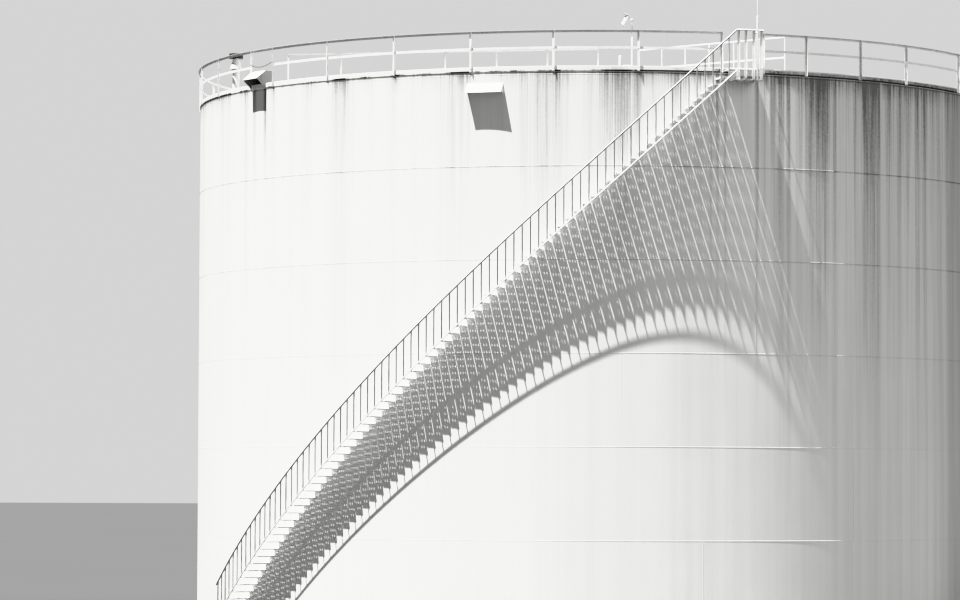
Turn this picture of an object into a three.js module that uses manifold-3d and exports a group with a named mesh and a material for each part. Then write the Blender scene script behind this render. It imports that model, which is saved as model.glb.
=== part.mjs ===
// Vertical storage tank with a spiral stair, guardrails and roof walkways.
// Millimetres, +Z up. The origin is on the tank's axis at ground level.
// Angles run round the axis from the front (-Y), positive towards +X.
import * as THREE from 'three';
import { mergeVertices } from 'three/addons/utils/BufferGeometryUtils.js';
import Module from 'manifold-3d';

const wasm = await Module();
wasm.setup();

// Driving dimensions of the shell
const SHELL_RADIUS = 11430;
const SHELL_FACETS = 60;
const COURSE_HEIGHT = 2438;
const COURSE_THICKNESSES = [12, 10, 9, 8, 8, 8];
const FLOOR_THICKNESS = 8;
const FLOOR_PROJECTION = 50;
const SHELL_TOP = FLOOR_THICKNESS + COURSE_HEIGHT * COURSE_THICKNESSES.length;

// Kerb on top of the shell
const KERB_LEG_THICKNESS = 14;
const KERB_INNER_REACH = 90;
const KERB_PROJECTION = 14;
const KERB_WALL = 12;
const KERB_TOP = SHELL_TOP + 154;
const KERB_RADIUS = SHELL_RADIUS + KERB_PROJECTION;

// Roof cone
const ROOF_SLOPE = 1 / 16;
const ROOF_RADIUS = SHELL_RADIUS - 10;
const ROOF_THICKNESS = 6;
const SEAT_GAP = 0.3;
const ROOF_EDGE = SHELL_TOP + KERB_LEG_THICKNESS + SEAT_GAP;

// Guardrail round the rim
const RAIL_TOP = 15730;
const MID_RAIL_TOP = 15300;
const RAIL_INNER = SHELL_RADIUS + 8;
const RAIL_ANGLE = 60;
const RAIL_WIDTH = 68;
const RAIL_STEEL = 8;
const POST_FOOT = 14665;
const BAY = 11.1;
const FRONT_RAIL_START = -50.15;
const GATE_SPAN = 5.5;
const RIGHT_RAIL_POSTS = [22.3, 28.7, 37.65, 46.5, 60];
const BACK_RAIL_SECTIONS = [5, 6, 5, 6];

// Spiral stair
const RISERS = 75;
const LANDING_LEVEL = 14700;
const RISER = LANDING_LEVEL / RISERS;
const STEP_ANGLE = 1.0312;
const LANDING_START = 17.54;
const TREAD_DEPTH = 228;
const TREAD_THICKNESS = 34;
const TREAD_REACH = 580;
const NOSING_LEAD = 176;
const STRINGER_OFFSET = 669;
const STRINGER_RADIUS = 24;
const STRINGER_DROP = 17;
const HANDRAIL_OFFSET = 612;
const HANDRAIL_RADIUS = 21;
const HANDRAIL_HEIGHT = 1030;
const BALUSTER = 32;
const LUG_WIDTH = 24;
const BAR_STEPS = 5;
const BAR_SIDES = 6;
const FLIGHTS = [15, 15, 15, 15, 14];

// Landing at the stair head
const LANDING_END = 21.05;
const LANDING_REACH = 596;
const LANDING_PLATE = 10;
const FRAME_START = 17.5;
const TOE_BAR = 34;
const FASCIA_FOOT = 14430;
const LANDING_POSTS = [17.75, 18.7, 19.75, 20.75];
const MAST_ANGLE = 20.1;
const MAST_RADIUS = 30;
const MAST_OFFSET = LANDING_REACH + BALUSTER + TOE_BAR + MAST_RADIUS + 2 * SEAT_GAP;
const POLE_SIDES = 8;
const MAST_STEP = 16100;
const MAST_TOP = 17300;

// Roof walkways, each given by the line of its handrail
const WALK_RAIL_HEIGHT = 1070;
const WALK_WIDTH = 700;
const WALK_GAP = 45;
const WALK_POST = 42;
const DECK_LIFT = 75;
const DECK_PLATE = 30;
const BEARER_INSET = 25;
const WALK_RIGHT = { from: [1240, -1400], to: [5000, -9350], side: -1, bays: 6, mid: true };
const WALK_LEFT = { from: [80, -1500], to: [-8600, -4650], side: -1, bays: 6, mid: false };

// Vents and fittings
const VENT_ANGLES = [-14.85, 75.15, 165.15, 255.15];
const VENT_WIDTH = 970;
const VENT_REACH = 250;
const VENT_TOP = 14371;
const VENT_DROP = 252;
const HOOD_PLATE = 8;
const VENT_HOLE = { width: 820, foot: 14160, head: 14320 };
const HATCH = {
  angle: -53.68, width: 710, back: 250, reach: 300, top: 15140, lip: 14925, foot: 14690, fold: 20,
};
const POLE_ANGLE = 4.65;
const POLE_INSET = 260;
const POLE_STEP = 15560;
const POLE_TOP = 16000;
const STUB_ANGLE = 3.05;
const STUB_TOP = 15090;
const LAMP = { body: [300, 180, 130], lid: [150, 190, 25], yoke: [210, 30, 30], clamp: [70, 70, 60] };
const RIM_VENT = {
  angle: -63.9, distance: 11150, neck: 100, base: 150, skirt: 170, throat: 90, cap: 200,
  skirtFoot: 15400, capFoot: 15690, top: 15850,
};
const MANHOLE = { angle: 180, centre: 760, bore: 305, wall: 12, reach: 250, flange: 400, plate: 25 };
const COVER_HANDLE = { span: 260, stand: 80, thickness: 24 };
const NOZZLE = { angle: 90, centre: 420, bore: 127, wall: 10, reach: 220, flange: 203, plate: 30 };
const FLANGE_SIDES = 16;

const degrees = Math.PI / 180;
const tank = new THREE.Group();

// Materials
const paint = (color) => new THREE.MeshStandardMaterial({ color, roughness: 0.6, metalness: 0.0 });
const SHELL_WHITE = 0xe9e9e6;
const RAIL_WHITE = 0xdededb;
const STAIR_WHITE = 0xe4e4e0;
const GALVANISED = 0x9a9c9c;

// Turn a geometry into a closed solid that can be cut and joined
function solid(geometry) {
  const bare = geometry.index ? geometry.toNonIndexed() : geometry.clone();
  bare.deleteAttribute('normal');
  bare.deleteAttribute('uv');
  const merged = mergeVertices(bare, 1e-3);
  const triVerts = new Uint32Array(merged.index.array);
  const vertProperties = new Float32Array(merged.attributes.position.array);
  return new wasm.Manifold(new wasm.Mesh({ numProp: 3, vertProperties, triVerts }));
}

// Turn a solid back into a geometry
function geometryOf(body) {
  const mesh = body.getMesh();
  const geometry = new THREE.BufferGeometry();
  geometry.setAttribute('position', new THREE.BufferAttribute(mesh.vertProperties, 3));
  geometry.setIndex(new THREE.BufferAttribute(mesh.triVerts, 1));
  return geometry;
}

// Join many overlapping geometries into one solid
function join(geometries) {
  return geometries.map(solid).reduce((whole, piece) => whole.add(piece));
}

function addPiece(name, geometry, color) {
  const mesh = new THREE.Mesh(geometry, paint(color));
  mesh.name = name;
  tank.add(mesh);
}

// Point on a circle about the axis
function at(angle, radius, z) {
  const turn = angle * degrees;
  return new THREE.Vector3(radius * Math.sin(turn), -radius * Math.cos(turn), z);
}

// Full ring or disc about the axis, from a closed profile of [radius, height]
function revolve(profile) {
  const points = profile.map(([r, z]) => new THREE.Vector2(r, z));
  const geometry = new THREE.LatheGeometry(points, SHELL_FACETS);
  geometry.rotateX(Math.PI / 2);
  return geometry;
}

function ring(inner, outer, z0, z1) {
  return revolve([[inner, z0], [outer, z0], [outer, z1], [inner, z1], [inner, z0]]);
}

// Box that stands radially at an angle, offset sideways along the tangent
function radialBox(angle, inner, outer, width, z0, z1, aside = 0) {
  const geometry = new THREE.BoxGeometry(width, outer - inner, z1 - z0);
  geometry.translate(aside, -(inner + outer) / 2, (z0 + z1) / 2);
  geometry.rotateZ(angle * degrees);
  return geometry;
}

// Farthest that the faceted circle of this radius reaches along a direction,
// between two sideways offsets from it
function facetReach(angle, radius, left, right) {
  const facet = (2 * Math.PI) / SHELL_FACETS;
  const turn = angle * degrees;
  const corners = [...Array(SHELL_FACETS).keys()].map((i) => i * facet - turn);
  const sides = corners.map((corner) => [
    radius * Math.sin(corner), radius * Math.cos(corner),
    radius * Math.sin(corner + facet), radius * Math.cos(corner + facet),
  ]).filter(([, , , y]) => y > 0);
  const reachAt = (x) => Math.max(...sides.map(([x0, y0, x1, y1]) => {
    if (x < Math.min(x0, x1) || x > Math.max(x0, x1)) return 0;
    return y0 + ((y1 - y0) * (x - x0)) / (x1 - x0);
  }));
  const inside = sides.filter(([x0]) => x0 > left && x0 < right).map(([, y0]) => y0);
  return Math.max(reachAt(left), reachAt(right), ...inside);
}

// Height of the faceted roof's surface under a point
function roofHeight(p) {
  const facet = (2 * Math.PI) / SHELL_FACETS;
  const angle = Math.atan2(p.x, -p.y);
  const middle = (Math.floor(angle / facet) + 0.5) * facet;
  const radius = (Math.hypot(p.x, p.y) * Math.cos(angle - middle)) / Math.cos(facet / 2);
  return roofTopAt(radius);
}

// Angles spread evenly from one to another, about a step apart
function spread(from, to, step) {
  const count = Math.max(1, Math.round((to - from) / step));
  return [...Array(count + 1).keys()].map((i) => from + ((to - from) * i) / count);
}

// Flat curved plate through a list of angles
function arcPlate(inner, outer, z0, z1, angles) {
  const out = angles.map((angle) => at(angle, outer, 0));
  const back = [...angles].reverse().map((angle) => at(angle, inner, 0));
  const shape = new THREE.Shape([...out, ...back].map((p) => new THREE.Vector2(p.x, p.y)));
  const geometry = new THREE.ExtrudeGeometry(shape, { depth: z1 - z0, bevelEnabled: false });
  geometry.translate(0, 0, z0);
  return geometry;
}

// Straight bar of rectangular section between two points
function bar(start, end, width, height) {
  const along = new THREE.Vector3().subVectors(end, start);
  const geometry = new THREE.BoxGeometry(along.length(), width, height);
  const x = along.clone().normalize();
  const y = new THREE.Vector3(0, 0, 1).cross(x).normalize();
  const z = new THREE.Vector3().crossVectors(x, y);
  const middle = new THREE.Vector3().addVectors(start, end).multiplyScalar(0.5);
  geometry.applyMatrix4(new THREE.Matrix4().makeBasis(x, y, z).setPosition(middle));
  return geometry;
}

// Upright square post turned to face along a line
function squarePost(centre, along, width, z0, z1) {
  const geometry = new THREE.BoxGeometry(width, width, z1 - z0);
  geometry.rotateZ(Math.atan2(along.y, along.x));
  geometry.translate(centre.x, centre.y, (z0 + z1) / 2);
  return geometry;
}

// Upright round post at an angle and distance from the axis
function pole(angle, distance, radius, z0, z1) {
  const geometry = new THREE.CylinderGeometry(radius, radius, z1 - z0, POLE_SIDES);
  geometry.rotateX(Math.PI / 2);
  geometry.translate(0, -distance, (z0 + z1) / 2);
  geometry.rotateZ(angle * degrees);
  return geometry;
}

// Round bar along a curve
function roundBar(curve, radius, steps, sides) {
  const section = new THREE.Shape();
  for (let i = 0; i < sides; i += 1) {
    const turn = (i / sides) * 2 * Math.PI;
    const x = radius * Math.cos(turn);
    const y = radius * Math.sin(turn);
    if (i === 0) section.moveTo(x, y);
    else section.lineTo(x, y);
  }
  const settings = { steps, extrudePath: curve, bevelEnabled: false };
  return new THREE.ExtrudeGeometry(section, settings);
}

// Rising curve round the tank, straight up the stair's slope
class Helix extends THREE.Curve {
  constructor(radius, from, to, z0, z1) {
    super();
    Object.assign(this, { radius, from, to, z0, z1 });
  }

  getPoint(t, target = new THREE.Vector3()) {
    const angle = this.from + (this.to - this.from) * t;
    return target.copy(at(angle, this.radius, this.z0 + (this.z1 - this.z0) * t));
  }
}

// Solids that trim what is seated on the shell, the kerb and the roof
const shellCutter = solid(revolve([
  [0, -100], [SHELL_RADIUS + SEAT_GAP, -100], [SHELL_RADIUS + SEAT_GAP, RAIL_TOP], [0, RAIL_TOP],
]));
const kerbCutter = solid(revolve([
  [0, -100], [KERB_RADIUS + SEAT_GAP, -100], [KERB_RADIUS + SEAT_GAP, KERB_TOP + SEAT_GAP],
  [0, KERB_TOP + SEAT_GAP],
]));
const roofTopAt = (radius) => ROOF_EDGE + ROOF_THICKNESS + (ROOF_RADIUS - radius) * ROOF_SLOPE;
const roofCutter = solid(revolve([
  [0, 0], [ROOF_RADIUS, 0], [ROOF_RADIUS, roofTopAt(ROOF_RADIUS) + SEAT_GAP], [0, roofTopAt(0) + SEAT_GAP],
]));

// Angle of the stair at riser number k, and the height of its nosing line
const stairAngle = (k) => LANDING_START - (RISERS - k) * STEP_ANGLE;
const nosingHeight = (k) => k * RISER;

function addFloor() {
  const reach = SHELL_RADIUS + FLOOR_PROJECTION;
  addPiece('bottom_plate', revolve([
    [0, 0], [reach, 0], [reach, FLOOR_THICKNESS], [0, FLOOR_THICKNESS],
  ]), SHELL_WHITE);
}

// Round hole through the wall, as a solid to cut away
function wallBore({ angle, centre, bore }) {
  const geometry = new THREE.CylinderGeometry(bore, bore, 4 * bore, FLANGE_SIDES);
  geometry.translate(0, -SHELL_RADIUS, centre);
  geometry.rotateZ(angle * degrees);
  return solid(geometry);
}

function addShell() {
  COURSE_THICKNESSES.forEach((thickness, i) => {
    const foot = FLOOR_THICKNESS + i * COURSE_HEIGHT;
    let course = ring(SHELL_RADIUS - thickness, SHELL_RADIUS, foot, foot + COURSE_HEIGHT);
    if (i === 0) {
      course = geometryOf(solid(course)
        .subtract(wallBore(MANHOLE))
        .subtract(wallBore(NOZZLE)));
    }
    if (i === COURSE_THICKNESSES.length - 1) {
      const cuts = VENT_ANGLES.map((angle) => solid(radialBox(
        angle, SHELL_RADIUS - 300, SHELL_RADIUS + 300, VENT_HOLE.width, VENT_HOLE.foot, VENT_HOLE.head,
      )));
      course = geometryOf(cuts.reduce((body, cut) => body.subtract(cut), solid(course)));
    }
    addPiece(`shell_course_${i + 1}`, course, SHELL_WHITE);
  });
}

// Kerb: a flat ledge on the shell with an upstand at its outer edge
function addKerb() {
  const inner = SHELL_RADIUS - KERB_INNER_REACH;
  const wall = KERB_RADIUS - KERB_WALL;
  const ledge = SHELL_TOP + KERB_LEG_THICKNESS;
  addPiece('top_kerb', revolve([
    [inner, SHELL_TOP], [KERB_RADIUS, SHELL_TOP], [KERB_RADIUS, KERB_TOP], [wall, KERB_TOP],
    [wall, ledge], [inner, ledge], [inner, SHELL_TOP],
  ]), SHELL_WHITE);
}

function addRoof() {
  const under = (radius) => roofTopAt(radius) - ROOF_THICKNESS;
  addPiece('roof_plate', revolve([
    [0, under(0)], [ROOF_RADIUS, under(ROOF_RADIUS)],
    [ROOF_RADIUS, roofTopAt(ROOF_RADIUS)], [0, roofTopAt(0)],
  ]), SHELL_WHITE);
}

// Angle-section post with its bolted foot on the kerb's outer face
function rimPost(angle) {
  const half = RAIL_ANGLE / 2;
  const face = facetReach(angle, KERB_RADIUS, -half, half) + SEAT_GAP;
  const shape = new THREE.Shape([
    [-half, -face], [half, -face], [half, -face - RAIL_STEEL], [RAIL_STEEL - half, -face - RAIL_STEEL],
    [RAIL_STEEL - half, -face - RAIL_ANGLE], [-half, -face - RAIL_ANGLE],
  ].map(([x, y]) => new THREE.Vector2(x, y)));
  const depth = RAIL_TOP - RAIL_STEEL - POST_FOOT;
  const geometry = new THREE.ExtrudeGeometry(shape, { depth, bevelEnabled: false });
  geometry.translate(0, 0, POST_FOOT);
  geometry.rotateZ(angle * degrees);
  return geometry;
}

// One length of rim guardrail: posts, a top rail and a flat bar at mid height.
// The top rail can start before the bar, at an angle of its own.
function addRimRail(name, posts, from, to, topFrom = null) {
  const stops = [from, ...posts, to];
  const angles = stops.flatMap((stop, i) => (
    i > 0 && stop - stops[i - 1] > BAY / 2 ? [(stop + stops[i - 1]) / 2, stop] : [stop]
  ));
  const topAngles = topFrom === null ? angles : [topFrom, ...angles];
  const pieces = [
    arcPlate(RAIL_INNER, RAIL_INNER + RAIL_WIDTH, RAIL_TOP - RAIL_ANGLE, RAIL_TOP, topAngles),
    arcPlate(RAIL_INNER, RAIL_INNER + RAIL_STEEL, MID_RAIL_TOP - RAIL_ANGLE, MID_RAIL_TOP, angles),
    ...posts.map(rimPost),
  ];
  addPiece(name, geometryOf(join(pieces)), RAIL_WHITE);
}

function addRimRails() {
  const overhang = 0.18;
  const seam = 0.0008;
  const frontPosts = [...Array(7).keys()].map((i) => FRONT_RAIL_START + i * BAY);
  const middle = frontPosts[3] + overhang;
  const gateStart = FRONT_RAIL_START - GATE_SPAN + overhang + 2 * seam;
  addRimRail('rim_rail_1', frontPosts.slice(0, 4), frontPosts[0] - overhang, middle, gateStart);
  addRimRail('rim_rail_2', frontPosts.slice(4), middle + 2 * seam, frontPosts[6] + overhang);
  const last = RIGHT_RAIL_POSTS.length - 1;
  let end = RIGHT_RAIL_POSTS[last] + overhang;
  addRimRail('rim_rail_3', RIGHT_RAIL_POSTS, RIGHT_RAIL_POSTS[0] - overhang, end);
  let post = RIGHT_RAIL_POSTS[last];
  const gateLeft = 360 + FRONT_RAIL_START - GATE_SPAN;
  const bays = BACK_RAIL_SECTIONS.reduce((sum, count) => sum + count, 0);
  const pitch = (gateLeft - post) / bays;
  BACK_RAIL_SECTIONS.forEach((count, i) => {
    const posts = [...Array(count).keys()].map((k) => post + (k + 1) * pitch);
    const start = end + 2 * seam;
    end = posts[count - 1] + overhang;
    addRimRail(`rim_rail_${i + 4}`, posts, start, end);
    post = posts[count - 1];
  });
}

// Chain that closes the gate between two rim posts, as one slack round bar
function addGateChain() {
  const radius = KERB_RADIUS + 30;
  const turnOf = (length) => length / radius / degrees;
  const legFace = RAIL_ANGLE / 2 - RAIL_STEEL;
  const from = FRONT_RAIL_START - GATE_SPAN - turnOf(legFace - 4);
  const to = FRONT_RAIL_START - turnOf(RAIL_ANGLE / 2 + 4);
  const height = 15335;
  const sag = 90;
  const points = [...Array(9).keys()].map((i) => {
    const t = i / 8;
    return at(from + (to - from) * t, radius, height - sag * 4 * t * (1 - t));
  });
  addPiece('gate_chain', roundBar(new THREE.CatmullRomCurve3(points), 11, 8, 5), GALVANISED);
}

// First and last riser numbers of a flight's long bars, which meet end to end
function flightSpan(first, count) {
  const last = first + count - 1;
  const joint = 0.499;
  const headroom = 0.96;
  return { from: first - joint, to: last + (last === RISERS - 1 ? headroom : joint) };
}

// Tread with a tongue at its outer end that reaches the stringer
function tread(k) {
  const angle = stairAngle(k);
  const front = -NOSING_LEAD;
  const back = TREAD_DEPTH - NOSING_LEAD;
  const wall = facetReach(angle, SHELL_RADIUS, front, back) + SEAT_GAP;
  const end = SHELL_RADIUS + TREAD_REACH;
  const tip = SHELL_RADIUS + STRINGER_OFFSET;
  const half = LUG_WIDTH / 2;
  const outline = [
    [front, -wall], [back, -wall], [back, -end], [half, -end], [half, -tip], [-half, -tip],
    [-half, -end], [front, -end],
  ];
  const shape = new THREE.Shape(outline.map(([x, y]) => new THREE.Vector2(x, y)));
  const settings = { depth: TREAD_THICKNESS, bevelEnabled: false };
  const geometry = new THREE.ExtrudeGeometry(shape, settings);
  geometry.translate(0, 0, nosingHeight(k) - TREAD_THICKNESS);
  geometry.rotateZ(angle * degrees);
  return geometry;
}

// One flight: treads held at their outer ends by a round stringer
function addFlight(number, first, count) {
  const pieces = [];
  for (let k = first; k < first + count; k += 1) pieces.push(tread(k));
  const { from, to } = flightSpan(first, count);
  const stringer = new Helix(
    SHELL_RADIUS + STRINGER_OFFSET, stairAngle(from), stairAngle(to),
    nosingHeight(from) - STRINGER_DROP, nosingHeight(to) - STRINGER_DROP,
  );
  pieces.push(roundBar(stringer, STRINGER_RADIUS, BAR_STEPS, BAR_SIDES));
  addPiece(`stair_flight_${number}`, geometryOf(join(pieces)), STAIR_WHITE);
}

// One length of handrail with a baluster on every tread's tongue
function addStairRail(number, first, count) {
  const radius = SHELL_RADIUS + HANDRAIL_OFFSET;
  const pieces = [];
  for (let k = first; k < first + count; k += 1) {
    const foot = nosingHeight(k) + SEAT_GAP;
    const head = nosingHeight(k) + HANDRAIL_HEIGHT - HANDRAIL_RADIUS / 3;
    pieces.push(radialBox(
      stairAngle(k), radius - BALUSTER / 2, radius + BALUSTER / 2, BALUSTER, foot, head,
    ));
  }
  const { from, to } = flightSpan(first, count);
  const handrail = new Helix(
    radius, stairAngle(from), stairAngle(to),
    nosingHeight(from) + HANDRAIL_HEIGHT, nosingHeight(to) + HANDRAIL_HEIGHT,
  );
  pieces.push(roundBar(handrail, HANDRAIL_RADIUS, BAR_STEPS, BAR_SIDES));
  addPiece(`stair_rail_${number}`, geometryOf(join(pieces)), STAIR_WHITE);
}

function addStair() {
  let first = 1;
  FLIGHTS.forEach((count, i) => {
    addFlight(i + 1, first, count);
    addStairRail(i + 1, first, count);
    first += count;
  });
}

// Landing: plate with a deep edge frame, seated on the kerb
function addLanding() {
  const outer = SHELL_RADIUS + LANDING_REACH;
  const inner = SHELL_RADIUS - 40;
  const step = 0.9;
  const nosing = LANDING_START - NOSING_LEAD / SHELL_RADIUS / degrees;
  const floor = spread(nosing, LANDING_END, step);
  const frame = spread(FRAME_START, LANDING_END, step);
  const edge = 30;
  const sideWidth = 0.06;
  const rim = LANDING_LEVEL - LANDING_PLATE;
  const overlap = rim + 5;
  const pieces = [
    arcPlate(inner, outer, rim, LANDING_LEVEL, floor),
    arcPlate(outer - edge, outer, FASCIA_FOOT, overlap, frame),
    arcPlate(inner, outer, FASCIA_FOOT, overlap, [FRAME_START, FRAME_START + sideWidth]),
    arcPlate(inner, outer, FASCIA_FOOT, overlap, [LANDING_END - sideWidth, LANDING_END]),
  ];
  const trimmed = join(pieces).subtract(kerbCutter);
  addPiece('stair_landing', geometryOf(trimmed), STAIR_WHITE);
}

// Guardrail of the landing: posts on the outer face, and a return at its far end
function addLandingRail() {
  const face = SHELL_RADIUS + LANDING_REACH + SEAT_GAP;
  const outer = face + BALUSTER;
  const top = LANDING_LEVEL + HANDRAIL_HEIGHT + HANDRAIL_RADIUS;
  const railFoot = top - 2 * HANDRAIL_RADIUS;
  const from = LANDING_START + 0.02;
  const corner = LANDING_END + 0.02;
  const run = spread(from, corner, 0.9);
  const posts = LANDING_POSTS.map((angle) => radialBox(
    angle, face, outer, 2 * BALUSTER, FASCIA_FOOT, top - HANDRAIL_RADIUS,
  ));
  const seat = LANDING_LEVEL + SEAT_GAP;
  const inboard = SHELL_RADIUS + 90;
  const pieces = [
    ...posts,
    arcPlate(face, outer, railFoot, top, run),
    arcPlate(outer - 5, outer + TOE_BAR, LANDING_LEVEL, LANDING_LEVEL + TOE_BAR, run),
    arcPlate(inboard, outer, railFoot, top, [corner - 0.2, corner]),
    radialBox(corner - 0.1, inboard, inboard + BALUSTER, BALUSTER, seat, top - HANDRAIL_RADIUS),
  ];
  addPiece('landing_rail', geometryOf(join(pieces)), STAIR_WHITE);
}

// Mast clamped to the landing rail: a stout tube with a thinner rod in its head
function addMast() {
  const distance = SHELL_RADIUS + MAST_OFFSET;
  const pieces = [
    pole(MAST_ANGLE, distance, MAST_RADIUS, FASCIA_FOOT, MAST_STEP),
    pole(MAST_ANGLE, distance, MAST_RADIUS / 2, MAST_STEP - 50, MAST_TOP),
  ];
  addPiece('landing_mast', geometryOf(join(pieces)), GALVANISED);
}

// Deck of a roof walkway on cross bearers, and the handrail along one edge
function addWalkway(name, { from, to, side, bays, mid }) {
  const start = new THREE.Vector2(...from);
  const end = new THREE.Vector2(...to);
  const along = end.clone().sub(start);
  const across = new THREE.Vector2(-along.y, along.x).normalize().multiplyScalar(side);
  const place = (t, shift) => start.clone().addScaledVector(along, t).addScaledVector(across, shift);
  const ease = WALK_POST / 2 / along.length();
  const roofUnder = (t, near, far) => Math.max(...[t - ease, t + ease].flatMap(
    (u) => [0, 0.25, 0.5, 0.75, 1].map((v) => roofHeight(place(u, near + (far - near) * v))),
  ));
  const above = (t, shift, height) => {
    const p = place(t, shift);
    return new THREE.Vector3(p.x, p.y, roofHeight(p) + height);
  };
  const deck = [];
  const rail = [];
  const far = WALK_GAP + WALK_WIDTH;
  for (let i = 0; i <= bays; i += 1) {
    const t = ease + ((1 - 2 * ease) * i) / bays;
    const footing = roofUnder(t, -WALK_POST / 2, WALK_POST / 2) + SEAT_GAP;
    const head = roofHeight(place(t, 0)) + WALK_RAIL_HEIGHT;
    rail.push(squarePost(place(t, 0), along, WALK_POST, footing, head));
    const bearing = roofUnder(t, WALK_GAP, far) + SEAT_GAP;
    const ends = [WALK_GAP + BEARER_INSET, far - BEARER_INSET].map((shift) => place(t, shift));
    const height = roofHeight(place(t, WALK_GAP + WALK_WIDTH / 2)) + DECK_LIFT - bearing;
    const level = bearing + height / 2;
    deck.push(bar(
      new THREE.Vector3(ends[0].x, ends[0].y, level), new THREE.Vector3(ends[1].x, ends[1].y, level),
      WALK_POST, height,
    ));
  }
  const middle = WALK_GAP + WALK_WIDTH / 2;
  deck.push(bar(above(0, middle, DECK_LIFT), above(1, middle, DECK_LIFT), WALK_WIDTH, DECK_PLATE));
  rail.push(bar(above(0, 0, WALK_RAIL_HEIGHT), above(1, 0, WALK_RAIL_HEIGHT), 45, 45));
  if (mid) rail.push(bar(above(0, 0, WALK_RAIL_HEIGHT / 2), above(1, 0, WALK_RAIL_HEIGHT / 2), 30, 40));
  addPiece(`${name}_deck`, geometryOf(join(deck)), GALVANISED);
  addPiece(`${name}_rail`, geometryOf(join(rail)), RAIL_WHITE);
}

// Extrude a radial profile of [offset from the shell, height] at an angle,
// between two sideways offsets
function radialPrism(profile, left, right, angle) {
  const shape = new THREE.Shape(profile.map(([x, z]) => new THREE.Vector2(x, z)));
  const geometry = new THREE.ExtrudeGeometry(shape, { depth: right - left, bevelEnabled: false });
  geometry.rotateX(Math.PI / 2);
  geometry.rotateZ(-Math.PI / 2);
  geometry.translate(right, -SHELL_RADIUS, 0);
  geometry.rotateZ(angle * degrees);
  return geometry;
}

// Hood over a vent: a sloped plate with a cheek at each end, open below
function ventHood(angle) {
  const half = VENT_WIDTH / 2;
  const lip = VENT_TOP - VENT_DROP;
  const inside = -60;
  const sheet = [
    [inside, VENT_TOP], [0, VENT_TOP], [VENT_REACH, lip], [VENT_REACH, lip - HOOD_PLATE],
    [0, VENT_TOP - 1.4 * HOOD_PLATE], [inside, VENT_TOP - 1.4 * HOOD_PLATE],
  ];
  const under = HOOD_PLATE / 2;
  const cheek = [
    [inside, VENT_TOP - under], [0, VENT_TOP - under], [VENT_REACH, lip - under], [inside, lip - under],
  ];
  return join([
    radialPrism(sheet, -half, half, angle),
    radialPrism(cheek, -half, HOOD_PLATE - half, angle),
    radialPrism(cheek, half - HOOD_PLATE, half, angle),
  ]).subtract(shellCutter);
}

function addVents() {
  VENT_ANGLES.forEach((angle, i) => {
    addPiece(`vent_hood_${i + 1}`, geometryOf(ventHood(angle)), SHELL_WHITE);
  });
}

// Box hood of thin plate that straddles the kerb below the chain, open below
function addHatchHood() {
  const { width, back, reach, top, lip, foot, fold, angle } = HATCH;
  const half = width / 2;
  const plate = HOOD_PLATE;
  const outside = solid(radialPrism([
    [-back, top], [fold, top], [reach, lip], [reach, lip - 20], [60, foot], [-back, foot],
  ], -half, half, angle));
  const inside = solid(radialPrism([
    [plate - back, top - plate], [fold - plate / 2, top - plate], [reach - plate, lip - plate],
    [reach - plate, 0], [plate - back, 0],
  ], plate - half, half - plate, angle));
  const hood = outside.subtract(inside).subtract(kerbCutter).subtract(roofCutter);
  addPiece('hatch_hood', geometryOf(hood), SHELL_WHITE);
}

// Floodlight on its pole inside the kerb, with the conduit stub beside it
function addFloodlight() {
  const distance = SHELL_RADIUS - POLE_INSET;
  const base = roofTopAt(distance);
  const foot = base - 40;
  const conduit = base + 150;
  const pieces = [
    pole(POLE_ANGLE, distance, 28, foot, POLE_STEP),
    pole(POLE_ANGLE, distance, 15, POLE_STEP - 60, POLE_TOP),
    pole(STUB_ANGLE, distance, 45, foot, STUB_TOP),
    bar(at(STUB_ANGLE, distance, conduit), at(POLE_ANGLE, distance, conduit), 36, 36),
  ];
  addPiece('floodlight_pole', geometryOf(join(pieces).subtract(roofCutter)), GALVANISED);
  const head = lampBox(LAMP.body, -60, [-190, 110]);
  const lid = lampBox(LAMP.lid, 25, [-150, 265]);
  const yoke = lampBox(LAMP.yoke, 30, [-90, 170]);
  const clamp = lampBox(LAMP.clamp, 0, [0, 130]);
  const placed = geometryOf(join([head, yoke, clamp, lid]));
  const centre = at(POLE_ANGLE, distance, POLE_TOP - 100 + SEAT_GAP);
  placed.translate(centre.x, centre.y, centre.z);
  addPiece('floodlight_head', placed, GALVANISED);
}

// One box of the floodlight, tilted in the plane of its arm
function lampBox(size, tilt, [x, z]) {
  const geometry = new THREE.BoxGeometry(...size);
  geometry.rotateY(tilt * degrees);
  geometry.translate(x, 0, z);
  return geometry;
}

// Flanged neck on the wall with the hole through it
function flangedNeck({ angle, centre, bore, wall, reach, flange, plate }) {
  const tube = (radius, near, far) => {
    const geometry = new THREE.CylinderGeometry(radius, radius, far - near, FLANGE_SIDES);
    geometry.translate(0, -(SHELL_RADIUS + (near + far) / 2), centre);
    geometry.rotateZ(angle * degrees);
    return solid(geometry);
  };
  return tube(bore + wall, -bore, reach)
    .add(tube(flange, reach - plate, reach))
    .subtract(tube(bore, -2 * bore, reach + plate))
    .subtract(shellCutter);
}

// Blind cover on the manhole's flange, with a bar handle across it
function manholeCover() {
  const { angle, centre, reach, flange, plate } = MANHOLE;
  const { span, stand, thickness } = COVER_HANDLE;
  const seat = SHELL_RADIUS + reach + SEAT_GAP;
  const face = seat + plate;
  const disc = new THREE.CylinderGeometry(flange, flange, plate, FLANGE_SIDES);
  disc.translate(0, -(seat + face) / 2, centre);
  disc.rotateZ(angle * degrees);
  const low = centre - thickness / 2;
  const high = centre + thickness / 2;
  const side = (span - thickness) / 2;
  return join([
    disc,
    radialBox(angle, face - thickness / 2, face + stand, thickness, low, high, -side),
    radialBox(angle, face - thickness / 2, face + stand, thickness, low, high, side),
    radialBox(angle, face + stand - thickness, face + stand, span, low, high),
  ]);
}

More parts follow.
